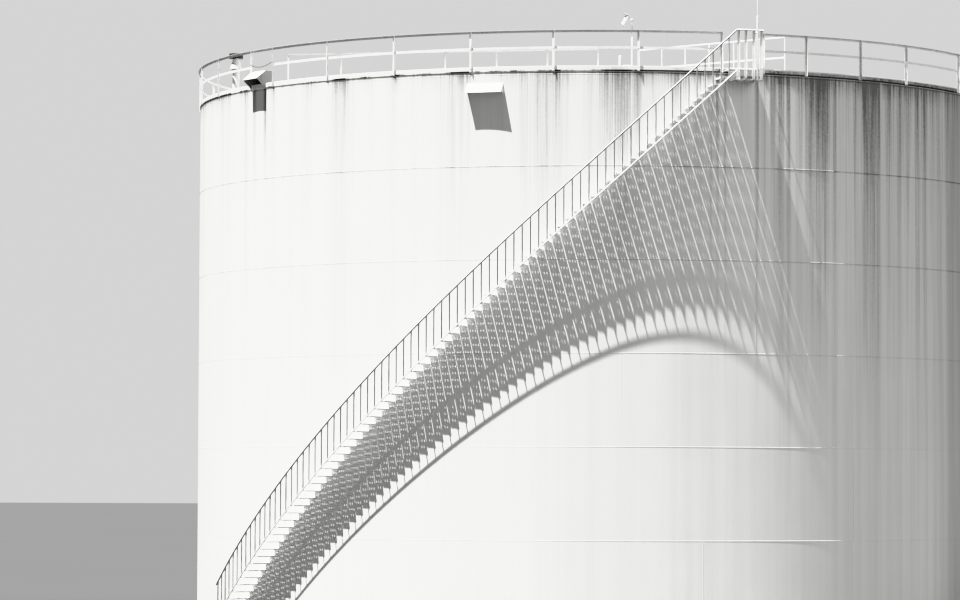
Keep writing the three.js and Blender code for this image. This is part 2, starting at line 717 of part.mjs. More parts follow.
function addOpenings() {
  addPiece('manhole_neck', geometryOf(flangedNeck(MANHOLE)), SHELL_WHITE);
  addPiece('manhole_cover', geometryOf(manholeCover()), SHELL_WHITE);
  addPiece('outlet_nozzle', geometryOf(flangedNeck(NOZZLE)), SHELL_WHITE);
}

// Breather vent on the roof just inside the rim: a neck with a skirted, capped head
function addRimVent() {
  const { angle, distance, neck, base, skirt, throat, cap, skirtFoot, capFoot, top } = RIM_VENT;
  const foot = roofTopAt(distance) - neck;
  const flange = roofTopAt(distance) + 2 * RAIL_STEEL;
  const brim = 20;
  const profile = [
    [0, foot], [base, foot], [base, flange], [neck, flange], [neck, skirtFoot],
    [skirt, skirtFoot], [throat, capFoot], [cap, capFoot], [cap, top - brim], [0, top],
  ];
  const points = profile.map(([r, z]) => new THREE.Vector2(r, z));
  const geometry = new THREE.LatheGeometry(points, FLANGE_SIDES);
  geometry.rotateX(Math.PI / 2);
  const centre = at(angle, distance, 0);
  geometry.translate(centre.x, centre.y, 0);
  addPiece('rim_vent', geometryOf(solid(geometry).subtract(roofCutter)), SHELL_WHITE);
}

addFloor();
addShell();
addKerb();
addRoof();
addRimRails();
addGateChain();
addStair();
addLanding();
addLandingRail();
addMast();
addWalkway('walkway_right', WALK_RIGHT);
addWalkway('walkway_left', WALK_LEFT);
addVents();
addHatchHood();
addFloodlight();
addRimVent();
addOpenings();

export default tank;
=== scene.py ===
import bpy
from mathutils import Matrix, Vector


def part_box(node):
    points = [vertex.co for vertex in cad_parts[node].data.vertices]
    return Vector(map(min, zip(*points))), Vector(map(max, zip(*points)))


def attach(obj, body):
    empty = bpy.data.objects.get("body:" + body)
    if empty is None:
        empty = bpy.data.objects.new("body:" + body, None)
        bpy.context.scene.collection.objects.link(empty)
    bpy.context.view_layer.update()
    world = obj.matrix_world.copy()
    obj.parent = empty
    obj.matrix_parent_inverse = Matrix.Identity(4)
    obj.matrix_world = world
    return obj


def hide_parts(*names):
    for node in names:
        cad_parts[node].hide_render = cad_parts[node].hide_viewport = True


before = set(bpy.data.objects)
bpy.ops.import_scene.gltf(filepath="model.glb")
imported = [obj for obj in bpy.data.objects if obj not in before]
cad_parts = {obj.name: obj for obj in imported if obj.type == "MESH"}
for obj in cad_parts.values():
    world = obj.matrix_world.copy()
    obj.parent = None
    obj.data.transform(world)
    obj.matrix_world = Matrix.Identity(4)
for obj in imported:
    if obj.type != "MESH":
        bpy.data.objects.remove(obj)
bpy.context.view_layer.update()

import random
from functools import cache
from math import atan2, copysign, cos, degrees, exp, hypot, pi, radians, sin

import bmesh
import bpy
from bpy.props import FloatProperty, FloatVectorProperty, IntProperty, PointerProperty
from bpy.types import Operator, Panel, PropertyGroup
from mathutils import Matrix, Vector

bl_info = {
    "name": "Vertical storage tank",
    "version": (1, 0, 0),
    "blender": (4, 5, 0),
    "location": "3D View > Sidebar > Tank",
    "description": "Builds the finished pieces of a storage tank round its packed frame",
    "category": "Object",
}


def lowest(node):
    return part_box(node)[0]


def highest(node):
    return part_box(node)[1]


# Wall, read from the frame; each course has its plates' thickness and the angle of one upright seam
COURSES = 6
WALL_RADIUS = highest("shell_course_1").x
WALL_FOOT = lowest("shell_course_1").z
WALL_TOP = highest(f"shell_course_{COURSES}").z
COURSE_HEIGHT = (WALL_TOP - WALL_FOOT) / COURSES
FLOOR_RADIUS = highest("bottom_plate").x
KERB_TOP = highest("top_kerb").z
KERB_RADIUS = highest("top_kerb").x
PLATE_THICKNESSES = (0.012, 0.010, 0.009, 0.008, 0.008, 0.008)
SEAM_ANGLES = (14.0, -8.5, 3.1, 21.28, -20.9, 21.28)
WALL_COLUMNS = 1800
KERB_COLUMNS = 1200
ROUND_STEPS = 720
CUT_DEPTH = 0.3

# Roof; each row of plates is shifted by a share of a plate's length
ROOF_RADIUS = highest("roof_plate").x
ROOF_PEAK = highest("roof_plate").z
ROOF_SLOPE = 1 / 16
ROOF_THICKNESS = 0.006
ROOF_EASE = 0.0005
ROW_SHIFT = 0.37
LAP_HEIGHT = 0.005
LAP_HALF = 0.012

# Guardrail round the rim
RAIL_TOP = highest("rim_rail_1").z
POST_FOOT = lowest("rim_rail_1").z
POST_FACE = KERB_RADIUS + 0.0006
RAIL_INNER = WALL_RADIUS + 0.008
RAIL_OUTER = WALL_RADIUS + 0.067
RAIL_LEG = 0.06
MID_RAIL_TOP = 15.3
MID_RAIL_PLATE = 0.008
BAY = 11.1
FRONT_START = -50.15
GATE_SPAN = 5.5
RIGHT_POSTS = (22.3, 28.7, 37.65, 46.5, 60.0)
BACK_SECTIONS = (5, 6, 5, 6)
RAIL_OVERHANG = 0.18
RAIL_SEAM = 0.002

# Chain across the gap in the guardrail
LINK_LENGTH = 0.028
LINK_WIDTH = 0.018
LINK_WIRE = 0.0026
LINK_PITCH = 0.023
CHAIN_RADIUS = KERB_RADIUS + 0.03
CHAIN_LIFT = 15.335
CHAIN_SAG = 0.09

# Spiral stair
RISERS = 75
LANDING_LEVEL = 14.7
RISE = LANDING_LEVEL / RISERS
STEP_TURN = 1.0312
STAIR_HEAD = 17.54
FLIGHTS = (15, 15, 15, 15, 14)
TREAD_FRONT = -0.176
TREAD_BACK = 0.052
TREAD_REACH = 0.58
TREAD_HEIGHT = 0.034
STRINGER_OFFSET = 0.669
STRINGER_DROP = 0.017
HANDRAIL_OFFSET = 0.612
HANDRAIL_HEIGHT = 1.03
BALUSTER = 0.032
PIPE_SIDES = 14
PIPE_SHARP = 50

# Landing
LANDING_END = 21.05
LANDING_REACH = 0.596
DECK_PLATE = 0.010
FRAME_START = 17.5
FRAME_WEBS = (FRAME_START, 18.7, 19.75, LANDING_END - 0.04)
FASCIA_FOOT = lowest("stair_landing").z
FASCIA_SHEET = 0.008
LANDING_POSTS = (17.75, 18.7, 19.75, 20.75)
MAST_STEP = 16.1
MAST_TOP = highest("landing_mast").z
MAST_COLLARS = (14.6, 15.2, 15.7)

# Roof walkways, by the line of the handrail
WALK_RAIL_HEIGHT = 1.07
WALK_WIDTH = 0.7
WALK_GAP = 0.045
DECK_LIFT = 0.075
WALKS = {
    "walkway_right": {"start": (1.24, -1.4), "end": (5.0, -9.35), "bays": 6, "mid": True},
    "walkway_left": {"start": (0.08, -1.5), "end": (-8.6, -4.65), "bays": 6, "mid": False},
}

# Wall vents and the hatch, under hoods of thin sheet
HOOD_SHEET = 0.006
VENT_ANGLES = (-14.85, 75.15, 165.15, 255.15)
VENT_WIDTH = 0.97
VENT_REACH = 0.25
VENT_TOP = 14.371
VENT_LIP = VENT_TOP - 0.252
VENT_HOLE = (0.82, 14.16, 14.32)
HATCH_ANGLE = -53.68
HATCH_WIDTH = 0.71
HATCH_BACK = -0.25
HATCH_FOLD = 0.02
HATCH_REACH = 0.3
HATCH_TOP = 15.14
HATCH_LIP = 14.925
HATCH_FOOT = 14.69

# Floodlight; each part of its head has a tilt in degrees, a distance aside and a height over its foot
POLE_ANGLE = 4.65
STUB_ANGLE = 3.05
POLE_RADIUS = WALL_RADIUS - 0.26
POLE_STEP = 15.56
POLE_TOP = 16.0
STUB_TOP = 15.09
CONDUIT_LIFT = 0.15
LAMP_FOOT = POLE_TOP - 0.1 + 0.0003
LAMP_BODY = (-60, -0.190, 0.110)
LAMP_VISOR = (25, -0.150, 0.265)
LAMP_YOKE = (30, -0.090, 0.170)
LAMP_CLAMP = (0, 0, 0.130)

# Breather inside the rim: angle and distance from the axis, and the heights of its neck and cap
BREATHER = (-63.9, 11.15)
BREATHER_NECK = ((0.098, 15.400), (0.166, 15.402), (0.166, 15.414), (0.088, 15.676), (0.088, 15.690), (0, 15.690))
BREATHER_CAP = ((0, 15.688), (0.188, 15.690), (0.194, 15.700), (0.194, 15.826), (0.17, 15.834), (0, 15.849))

# Openings in the lowest course
MANHOLE = {"angle": 180, "centre": 0.76, "bore": 0.305, "wall": 0.012, "reach": 0.25,
           "flange": 0.4, "plate": 0.025, "bolts": 28, "pad": 0.52}
NOZZLE = {"angle": 90, "centre": 0.42, "bore": 0.127, "wall": 0.010, "reach": 0.22,
          "flange": 0.203, "plate": 0.03, "bolts": 12, "pad": 0.26}
FLANGE_BOLT = 0.017
NECK_COLUMNS = 96

# Dirt that runs down the wall from the rim: angle, half width in degrees, strength, length in metres
STREAKS = (
    (-57.3, 0.6, 0.7, 8), (-55.0, 0.45, 1.1, 3.5), (-52.1, 0.35, 1.3, 2.5), (-50.0, 0.6, 0.4, 8),
    (-46.0, 1.2, 0.2, 8), (-42.8, 1.0, 0.4, 9), (-37.4, 0.9, 0.55, 9), (-36.0, 0.45, 0.65, 10),
    (-34.8, 0.7, 0.3, 7), (-31.5, 0.8, 0.15, 7), (-28.0, 0.7, 0.4, 10), (-25.0, 1.0, 0.15, 8),
    (-21.0, 0.9, 0.3, 8), (-19.3, 0.7, 0.5, 9), (-18.2, 0.4, 0.6, 9), (-17.0, 0.6, 0.35, 8),
    (-12.5, 1.0, 0.2, 5), (-9.3, 0.9, 0.55, 7), (-7.9, 0.5, 0.5, 8), (-6.6, 0.9, 0.6, 8),
    (-5.0, 0.7, 0.6, 7), (-3.9, 0.2, 0.5, 6), (-1.2, 0.7, 0.35, 5), (0.7, 0.6, 0.6, 6),
    (2.0, 0.8, 0.9, 6), (2.9, 0.15, 1.0, 8), (3.8, 0.9, 0.9, 6), (5.2, 0.5, 0.7, 6),
    (7.3, 0.7, 0.4, 6), (10.2, 0.7, 0.6, 5), (11.6, 0.4, 0.3, 5), (13.4, 0.6, 0.6, 6),
    (15.0, 0.5, 0.6, 7), (15.9, 0.15, 1.1, 9), (17.0, 0.15, 1.2, 9), (19.5, 0.8, 0.3, 8),
    (21.5, 0.2, 1.4, 10), (22.5, 0.4, 0.8, 8), (23.8, 0.4, 0.9, 7), (25.0, 0.5, 1.3, 11),
    (26.1, 0.3, 1.3, 12), (27.8, 0.5, 0.6, 8), (29.4, 0.6, 1.5, 7), (30.7, 0.5, 1.6, 8),
    (31.9, 0.5, 1.4, 8), (33.3, 0.25, 0.9, 9), (35.2, 0.8, 0.35, 6), (36.8, 0.25, 0.9, 8),
    (38.7, 0.6, 1.5, 8), (40.0, 0.5, 1.4, 9), (41.2, 0.3, 1.3, 10), (43.2, 0.7, 0.6, 5),
    (45.4, 0.6, 0.5, 6), (47.1, 0.4, 0.7, 6), (49.2, 0.6, 1.0, 9), (50.8, 0.5, 1.1, 9),
    (52.8, 0.6, 0.3, 9), (54.8, 0.7, 0.5, 9), (57.0, 0.7, 0.4, 9), (59.5, 1.5, 0.3, 9),
    (31.0, 3.0, 0.4, 11), (40.0, 2.0, 0.25, 9), (42.0, 6.0, 0.35, 13), (53.0, 7.0, 0.4, 13),
)
STREAK_REACH = 3
UNSEEN_STREAKS = 90
SEED = 11

# Film that darkens wide parts of the wall from top to bottom: angle, half width, strength
FILMS = ((1.0, 7.0, 0.06), (12.0, 5.0, 0.03), (28.0, 5.0, 0.06), (42.0, 9.0, 0.20), (64.5, 10.0, 0.71),
         (88.0, 16.0, 0.35), (180.0, 70.0, 0.15))

# Dirt that gathers in the groove under the kerb: angle, half width in degrees, strength
GROOVE_DIRT = (
    (-58.0, 2.0, 0.6), (-50.5, 1.5, 0.5), (-42.0, 1.2, 0.5), (-36.8, 1.3, 1.0), (-32.5, 1.6, 0.5),
    (-27.6, 1.0, 0.9), (-23.0, 2.5, 0.5), (-18.0, 1.6, 1.0), (-12.0, 3.5, 0.45), (-5.0, 2.5, 0.6),
    (2.5, 3.0, 0.8), (9.0, 3.5, 1.0), (16.0, 4.0, 1.2), (23.5, 4.0, 1.2), (31.0, 5.0, 1.2),
    (40.0, 6.0, 1.2), (52.0, 8.0, 1.1),
)
UNSEEN_FROM = 62
UNSEEN_GROOVE = 0.75

# Soot on the kerb's face, and a dark patch at 16.3 degrees by the landing: angle, half width in degrees, strength
KERB_SOOT = ((2.5, 1.2, 0.3), (10.5, 1.0, 0.3), (16.3, 1.1, 1.1), (24.0, 2.6, 0.9), (31.0, 5.0, 0.85),
             (41.0, 6.0, 0.9), (52.0, 7.0, 0.9), (66.0, 9.0, 0.8), (100.0, 30.0, 0.35))

# Attributes that carry the dirt from the mesh to the wall paint
DIRT_LAYERS = ("leak", "run", "groove", "soot", "film")

# Painted steel, where it differs from the stair's paint. Every coat also paints shade in the soot colour on faces
# that look down past its level; the underside number sets how dark
COATS = {
    "stair_paint": {},
    "rail_paint": {"dirt_share": 0.5, "speck_scale": 40.0},
    # Pipes: painted shade over their lower part
    "pipe_paint": {"underside_shade": 1.0, "level": 0.6},
    "stringer_paint": {"dirt_share": 0.3, "underside_shade": 0.1},
    # Balusters: extra dirt, and painted shade on their sides and undersides, so that they read darker than the
    # wall
    "baluster_paint": {"dirt_share": 1.8, "rough": 0.45, "underside_shade": 1.0, "level": 0.2},
    "hood_paint": {"dirt_share": 0.3, "rough": 0.45, "speck_scale": 25.0, "underside_shade": 0.9},
    # Hatch cheeks: more dirt, and painted shade over their upright faces as well as below
    "sooty_paint": {"dirt_share": 0.8, "rough": 0.5, "speck_scale": 25.0, "underside_shade": 0.9, "level": 0.3},
}


# Places and outlines

def place(angle, radius, z):
    """Point at an angle round the tank, a distance from its axis and a height."""
    turn = radians(angle)
    return Vector((radius * sin(turn), -radius * cos(turn), z))


def turned(angle):
    """Turn about the tank's axis, from the front to an angle."""
    return Matrix.Rotation(radians(angle), 4, "Z")


def outward(angle, radius, height, aside=0.0):
    """Frame whose Z axis points out from the tank at an angle, for what is bolted to its face."""
    face = Matrix(((1, 0, 0, aside), (0, 0, -1, -radius), (0, 1, 0, height), (0, 0, 0, 1)))
    return turned(angle) @ face


def roof_height(x, y):
    return ROOF_PEAK - hypot(x, y) * ROOF_SLOPE


def spread(start, end, count):
    return [start + (end - start) * i / count for i in range(count + 1)]


def circle(radius, sides):
    return [(radius * cos(2 * pi * i / sides), radius * sin(2 * pi * i / sides)) for i in range(sides)]


def rectangle(x0, x1, y0, y1):
    return [(x0, y0), (x1, y0), (x1, y1), (x0, y1)]


def angle_steel(corner, across, along, steel):
    """L-shaped outline from its outer corner, with one leg to across in X and one to along in Y."""
    x, y = corner
    inner_x = x + copysign(steel, across - x)
    inner_y = y + copysign(steel, along - y)
    return [(x, y), (across, y), (across, inner_y), (inner_x, inner_y), (inner_x, along), (x, along)]


class Shape:
    """Corners and faces of one piece, gathered part by part."""

    def __init__(self):
        self.corners = []
        self.faces = []

    def add(self, corners, faces, matrix=None):
        base = len(self.corners)
        self.corners += [matrix @ Vector(c) if matrix else Vector(c) for c in corners]
        self.faces += [[base + i for i in face] for face in faces]
        return self

    def block(self, low, high, matrix=None):
        """Box between two corners."""
        return self.prism(rectangle(low[0], high[0], low[1], high[1]), low[2], high[2], matrix)

    def prism(self, outline, low, high, matrix=None):
        """Closed outline in X and Y, carried up from one height to another."""
        return self.sweep([[(x, y, z) for x, y in outline] for z in (low, high)], matrix=matrix)

    def sweep(self, rings, closed=False, matrix=None):
        """Skin over rings of corners, joined end to start or capped at both ends."""
        count = len(rings[0])
        faces = []
        for k in range(len(rings) - (0 if closed else 1)):
            here = k * count
            there = (k + 1) % len(rings) * count
            for i in range(count):
                j = (i + 1) % count
                faces.append((here + i, here + j, there + j, there + i))
        if not closed:
            last = (len(rings) - 1) * count
            faces.append(range(count))
            faces.append(range(last, last + count))
        return self.add([corner for ring in rings for corner in ring], faces, matrix)

    def ring(self, section, columns):
        """Closed section of (radius, height), carried all the way round the axis."""
        rings = [[place(360 * k / columns, r, z) for r, z in section] for k in range(columns)]
        return self.sweep(rings, closed=True)

    def arc(self, section, start, end, steps):
        """Closed section of (radius, height), carried round the axis between two angles."""
        return self.sweep([[place(a, r, z) for r, z in section] for a in spread(start, end, steps)])

    def turn(self, profile, columns, matrix=None):
        """Profile of (radius, height) that starts and ends on the Z axis, spun round it."""
        first, *middle, last = profile
        corners = [(0, 0, first[1]), (0, 0, last[1])]
        corners += [(r * x, r * y, z) for x, y in circle(1, columns) for r, z in middle]
        size = len(middle)
        faces = []
        for k in range(columns):
            here = 2 + k * size
            there = 2 + (k + 1) % columns * size
            faces.append((0, there, here))
            faces += [(here + i, there + i, there + i + 1, here + i + 1) for i in range(size - 1)]
            faces.append((1, here + size - 1, there + size - 1))
        return self.add(corners, faces, matrix)

    def rod(self, start, end, radius, sides=PIPE_SIDES):
        """Round bar between two points."""
        along = end - start
        matrix = Matrix.Translation(start) @ along.to_track_quat("Z", "Y").to_matrix().to_4x4()
        return self.prism(circle(radius, sides), 0, along.length, matrix)

    def beam(self, start, end, outline):
        """Straight bar between two points; the outline is (sideways, up) across it."""
        along = (end - start).normalized()
        side = Vector((0, 0, 1)).cross(along).normalized()
        up = along.cross(side)
        return self.sweep([[point + side * s + up * u for s, u in outline] for point in (start, end)])

    def pierced(self, us, vs, is_open, z0, z1):
        """Flat plate on a grid of cells, left out where is_open(column, row) says so."""
        corner_of = {}
        corners = []
        faces = []

        def corner(i, j, level):
            key = (i, j, level)
            if key not in corner_of:
                corner_of[key] = len(corners)
                corners.append((us[i], vs[j], (z0, z1)[level]))
            return corner_of[key]

        def solid(i, j):
            return 0 <= i < len(us) - 1 and 0 <= j < len(vs) - 1 and not is_open(i, j)

        for i in range(len(us) - 1):
            for j in range(len(vs) - 1):
                if not solid(i, j):
                    continue
                loop = ((i, j), (i + 1, j), (i + 1, j + 1), (i, j + 1))
                faces.append([corner(a, b, 1) for a, b in loop])
                faces.append([corner(a, b, 0) for a, b in reversed(loop)])
                beyond = ((i, j - 1), (i + 1, j), (i, j + 1), (i - 1, j))
                for side in range(4):
                    if not solid(*beyond[side]):
                        a = loop[side]
                        b = loop[(side + 1) % 4]
                        faces.append([corner(*a, 0), corner(*b, 0), corner(*b, 1), corner(*a, 1)])
        return self.add(corners, faces)

    def mesh(self, matrix=None):
        mesh = bpy.data.meshes.new("form")
        mesh.from_pydata(self.corners, [], self.faces)
        if matrix:
            mesh.transform(matrix)
        return smoothed(mesh)


# Meshes and objects

def shaded(mesh, sharp_angle=32):
    """Mesh with its curved faces shaded smooth."""
    mesh.shade_smooth()
    mesh.set_sharp_from_angle(angle=radians(sharp_angle))
    return mesh


def smoothed(mesh, sharp_angle=32):
    """Shaded mesh with all its faces out."""
    form = bmesh.new()
    form.from_mesh(mesh)
    bmesh.ops.recalc_face_normals(form, faces=form.faces)
    form.to_mesh(mesh)
    form.free()
    return shaded(mesh, sharp_angle)


def joined(meshes):
    """One mesh from several."""
    form = bmesh.new()
    for mesh in meshes:
        form.from_mesh(mesh)
    whole = bpy.data.meshes.new("whole")
    form.to_mesh(whole)
    form.free()
    return smoothed(whole)


def linked(name, data):
    """New object of the scene."""
    thing = bpy.data.objects.new(name, data)
    bpy.context.scene.collection.objects.link(thing)
    return thing


def plain_copy(thing):
    """Plain mesh of an object as its modifiers leave it."""
    graph = bpy.context.evaluated_depsgraph_get()
    graph.update()
    return bpy.data.meshes.new_from_object(thing.evaluated_get(graph))


def cut(mesh, cutters):
    """Mesh with the cutters' solids taken away from it."""
    body = linked("body_to_cut", mesh)
    tools = [linked("cutter", cutter) for cutter in cutters]
    for tool in tools:
        modifier = body.modifiers.new("cut", "BOOLEAN")
        modifier.operation = "DIFFERENCE"
        modifier.solver = "EXACT"
        modifier.object = tool
    result = plain_copy(body)
    for thing in (*tools, body):
        bpy.data.objects.remove(thing)
    return shaded(result)


def piece(name, form, paint, slot, *nodes):
    """Finished piece of the tank from a shape or a mesh, which may stand for nodes of the frame."""
    mesh = form.mesh() if isinstance(form, Shape) else form
    mesh.name = name
    mesh.materials.clear()
    mesh.materials.append(material(paint))
    thing = linked(name, mesh)
    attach(thing, "root")
    if nodes:
        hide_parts(*nodes)


def wall_piece(name, mesh, *nodes):
    """Piece in wall paint, which reads the dirt that is stored at every corner."""
    dirt = [wall_dirt(round(degrees(atan2(v.co.x, -v.co.y)), 2)) for v in mesh.vertices]
    for layer, values in zip(DIRT_LAYERS, zip(*dirt)):
        mesh.attributes.new(layer, "FLOAT", "POINT").data.foreach_set("value", values)
    piece(name, mesh, "wall_paint", "shell_paint", *nodes)


# Node trees

class Value:
    """Output of a node, on which sums are written as on numbers."""

    def __init__(self, socket):
        self.socket = socket
        self.tree = socket.id_data

    def calc(self, operation, *values):
        return made(self.tree, "ShaderNodeMath", dict(enumerate(values or [self])), operation=operation)

    def __add__(self, other):
        return self.calc("ADD", self, other)

    def __sub__(self, other):
        return self.calc("SUBTRACT", self, other)

    def __rsub__(self, other):
        return self.calc("SUBTRACT", other, self)

    def __mul__(self, other):
        return self.calc("MULTIPLY", self, other)

    def __truediv__(self, other):
        return self.calc("DIVIDE", self, other)

    def __mod__(self, other):
        return self.calc("MODULO", self, other)

    def __pow__(self, other):
        return self.calc("POWER", self, other)

    def clamped(self):
        """The same sum, held between 0 and 1."""
        self.socket.node.use_clamp = True
        return self

    def ramp(self, low, high, start=0.0, end=1.0):
        """The value carried from one range to another, and held at its ends."""
        return made(self.tree, "ShaderNodeMapRange", {
            "Value": self, "From Min": low, "From Max": high, "To Min": start, "To Max": end,
        })


def feed(socket, value):
    """Link a Value to a socket, or set the socket to a plain number or colour."""
    if isinstance(value, Value):
        value.tree.links.new(value.socket, socket)
    else:
        socket.default_value = value


def add_node(tree, kind, inputs=None, **settings):
    """Node of a kind; inputs maps its sockets to Values or plain numbers."""
    node = tree.nodes.new(kind)
    for name, value in settings.items():
        setattr(node, name, value)
    for key, value in (inputs or {}).items():
        feed(node.inputs[key], value)
    return node


def made(tree, kind, inputs=None, output=0, **settings):
    """Output of a new node."""
    return Value(add_node(tree, kind, inputs, **settings).outputs[output])


def outputs(node):
    return {socket.name: Value(socket) for socket in node.outputs}


def vector(tree, x=0.0, y=0.0, z=0.0):
    return made(tree, "ShaderNodeCombineXYZ", {"X": x, "Y": y, "Z": z})


def geometry_tree(name, sizes, **others):
    """Empty Geometry Nodes tree with named inputs; gives the tree and its inputs."""
    tree = bpy.data.node_groups.new(name, "GeometryNodeTree")
    tree.interface.new_socket("Geometry", in_out="OUTPUT", socket_type="NodeSocketGeometry")
    kinds = {**others, **dict.fromkeys(sizes, "Float"), "Finish": "Material"}
    for label, kind in kinds.items():
        tree.interface.new_socket(label, in_out="INPUT", socket_type=f"NodeSocket{kind}")
    return tree, outputs(tree.nodes.new("NodeGroupInput"))


def end_tree(tree, geometry, finish):
    realized = made(tree, "GeometryNodeRealizeInstances", {"Geometry": geometry})
    coated = made(tree, "GeometryNodeSetMaterial", {"Geometry": realized, "Material": finish})
    add_node(tree, "NodeGroupOutput", {"Geometry": coated})
    return tree


def copy_index(tree):
    return made(tree, "GeometryNodeInputIndex")


def copied(tree, original, count, position, rotation=(0.0, 0.0, 0.0)):
    """Copies of a piece at a number of points."""
    points = made(tree, "GeometryNodePoints", {"Count": count, "Position": position})
    return made(tree, "GeometryNodeInstanceOnPoints", {
        "Points": points, "Instance": original, "Rotation": rotation,
    })


def round_spot(tree, radius, turn, lift):
    """Point at a turn in radians round the axis."""
    return vector(tree, radius * turn.calc("SINE"), radius * (turn.calc("COSINE") * -1.0), lift)


@cache
def climbing_array():
    """Copies of a piece in even steps round the axis, each a little higher than the last."""
    tree, given = geometry_tree("climbing_array", ("First turn", "Turn step", "First lift", "Lift step"),
                                Piece="Object", Count="Int")
    turn = copy_index(tree) * given["Turn step"] + given["First turn"]
    lift = copy_index(tree) * given["Lift step"] + given["First lift"]
    source = made(tree, "GeometryNodeObjectInfo", {"Object": given["Piece"]}, "Geometry")
    copies = copied(tree, source, given["Count"], vector(tree, z=lift), vector(tree, z=turn.calc("RADIANS")))
    return end_tree(tree, copies, given["Finish"])


@cache
def helix_pipe():
    """Round pipe that climbs round the axis between two angles and two heights."""
    tree, given = geometry_tree(
        "helix_pipe", ("Radius", "First turn", "Last turn", "First lift", "Last lift", "Pipe radius"),
        Steps="Int", Sides="Int",
    )
    line = made(tree, "GeometryNodeCurvePrimitiveLine")
    points = made(tree, "GeometryNodeResampleCurve", {"Curve": line, "Count": given["Steps"]})
    along = made(tree, "GeometryNodeSplineParameter", output="Factor")
    turn = along * (given["Last turn"] - given["First turn"]) + given["First turn"]
    lift = along * (given["Last lift"] - given["First lift"]) + given["First lift"]
    path = made(tree, "GeometryNodeSetPosition", {
        "Geometry": points, "Position": round_spot(tree, given["Radius"], turn.calc("RADIANS"), lift),
    })
    section = made(tree, "GeometryNodeCurvePrimitiveCircle", {
        "Resolution": given["Sides"], "Radius": given["Pipe radius"],
    })
    pipe = made(tree, "GeometryNodeCurveToMesh", {"Curve": path, "Profile Curve": section, "Fill Caps": True})
    return end_tree(tree, pipe, given["Finish"])


@cache
def girth_beads():
    """Weld beads all the way round the wall, one above another."""
    tree, given = geometry_tree("girth_beads", ("Radius", "Bead radius", "First lift", "Lift step"),
                                Segments="Int", Count="Int")
    girth = made(tree, "GeometryNodeCurvePrimitiveCircle", {
        "Resolution": given["Segments"], "Radius": given["Radius"],
    })
    section = made(tree, "GeometryNodeCurvePrimitiveCircle", {
        "Resolution": 8, "Radius": given["Bead radius"],
    })
    bead = made(tree, "GeometryNodeCurveToMesh", {"Curve": girth, "Profile Curve": section})
    lift = copy_index(tree) * given["Lift step"] + given["First lift"]
    return end_tree(tree, copied(tree, bead, given["Count"], vector(tree, z=lift)), given["Finish"])


def bar_row(tree, count, length, pitch, thickness, depth, across):
    """Row of like bars; across says that they lie along Y instead of X."""
    offset = (copy_index(tree) - (count - 1.0) * 0.5) * pitch
    spot = vector(tree, x=offset) if across else vector(tree, y=offset)
    size = vector(tree, thickness, length, depth) if across else vector(tree, length, thickness, depth)
    return copied(tree, made(tree, "GeometryNodeMeshCube", {"Size": size}), count, spot)


@cache
def grating():
    """Open deck of bearing bars along X and cross rods along Y."""
    tree, given = geometry_tree("grating", ("Length", "Width", "Bar thickness", "Bar depth", "Rod thickness"),
                                Bars="Int", Rods="Int")
    bar, rod = given["Bar thickness"], given["Rod thickness"]
    bar_pitch = (given["Width"] - bar) / (given["Bars"] - 1.0)
    rod_pitch = (given["Length"] - rod) / (given["Rods"] - 1.0)
    both = tree.nodes.new("GeometryNodeJoinGeometry")
    feed(both.inputs[0], bar_row(tree, given["Bars"], given["Length"], bar_pitch, bar, given["Bar depth"], False))
    feed(both.inputs[0], bar_row(tree, given["Rods"], given["Width"], rod_pitch, rod, rod, True))
    return end_tree(tree, Value(both.outputs[0]), given["Finish"])


@cache
def slack_links():
    """Chain links along a slack line between two angles, every other one turned upright."""
    tree, given = geometry_tree("slack_links", ("Radius", "First turn", "Last turn", "Lift", "Sag"),
                                Link="Object", Count="Int")
    along = (copy_index(tree) + 0.5) / given["Count"]
    sweep = given["Last turn"] - given["First turn"]
    turn = (along * sweep + given["First turn"]).calc("RADIANS")
    lift = given["Lift"] - along * (1.0 - along) * 4.0 * given["Sag"]
    length = sweep.calc("RADIANS") * given["Radius"]
    pitch = ((4.0 - along * 8.0) * given["Sag"] / length).calc("ARCTANGENT")
    roll = copy_index(tree) % 2.0 * (pi / 2)
    source = made(tree, "GeometryNodeObjectInfo", {"Object": given["Link"]}, "Geometry")
    links = copied(tree, source, given["Count"], round_spot(tree, given["Radius"], turn, lift),
                   vector(tree, roll, pitch, turn))
    return end_tree(tree, links, given["Finish"])


def grown(tree_maker, **values):
    """Plain mesh from a Geometry Nodes tree; a mesh among its inputs becomes an object for the while."""
    tree = tree_maker()
    carrier = linked("carrier", bpy.data.meshes.new("carrier"))
    helpers = [carrier]
    modifier = carrier.modifiers.new("nodes", "NODES")
    modifier.node_group = tree
    for socket in tree.interface.items_tree:
        if socket.in_out == "OUTPUT":
            continue
        value = values.pop(socket.name.replace(" ", "_").lower())
        if isinstance(value, bpy.types.Mesh):
            value = linked("master", value)
            helpers.append(value)
        wants_float = socket.socket_type == "NodeSocketFloat"
        modifier[socket.identifier] = float(value) if wants_float else value
    if values:
        raise KeyError(f"{tree.name} has no inputs {sorted(values)}")
    mesh = plain_copy(carrier)
    carrier.modifiers.remove(modifier)
    for helper in helpers:
        bpy.data.objects.remove(helper)
    return mesh


def repeated(mesh, paint, *runs):
    """Mesh copied in runs of (count, first turn, turn step, first lift, lift step)."""
    return joined([
        grown(climbing_array, piece=mesh, count=count, first_turn=first_turn, turn_step=turn_step,
              first_lift=first_lift, lift_step=lift_step, finish=material(paint))
        for count, first_turn, turn_step, first_lift, lift_step in runs
    ])


# Materials

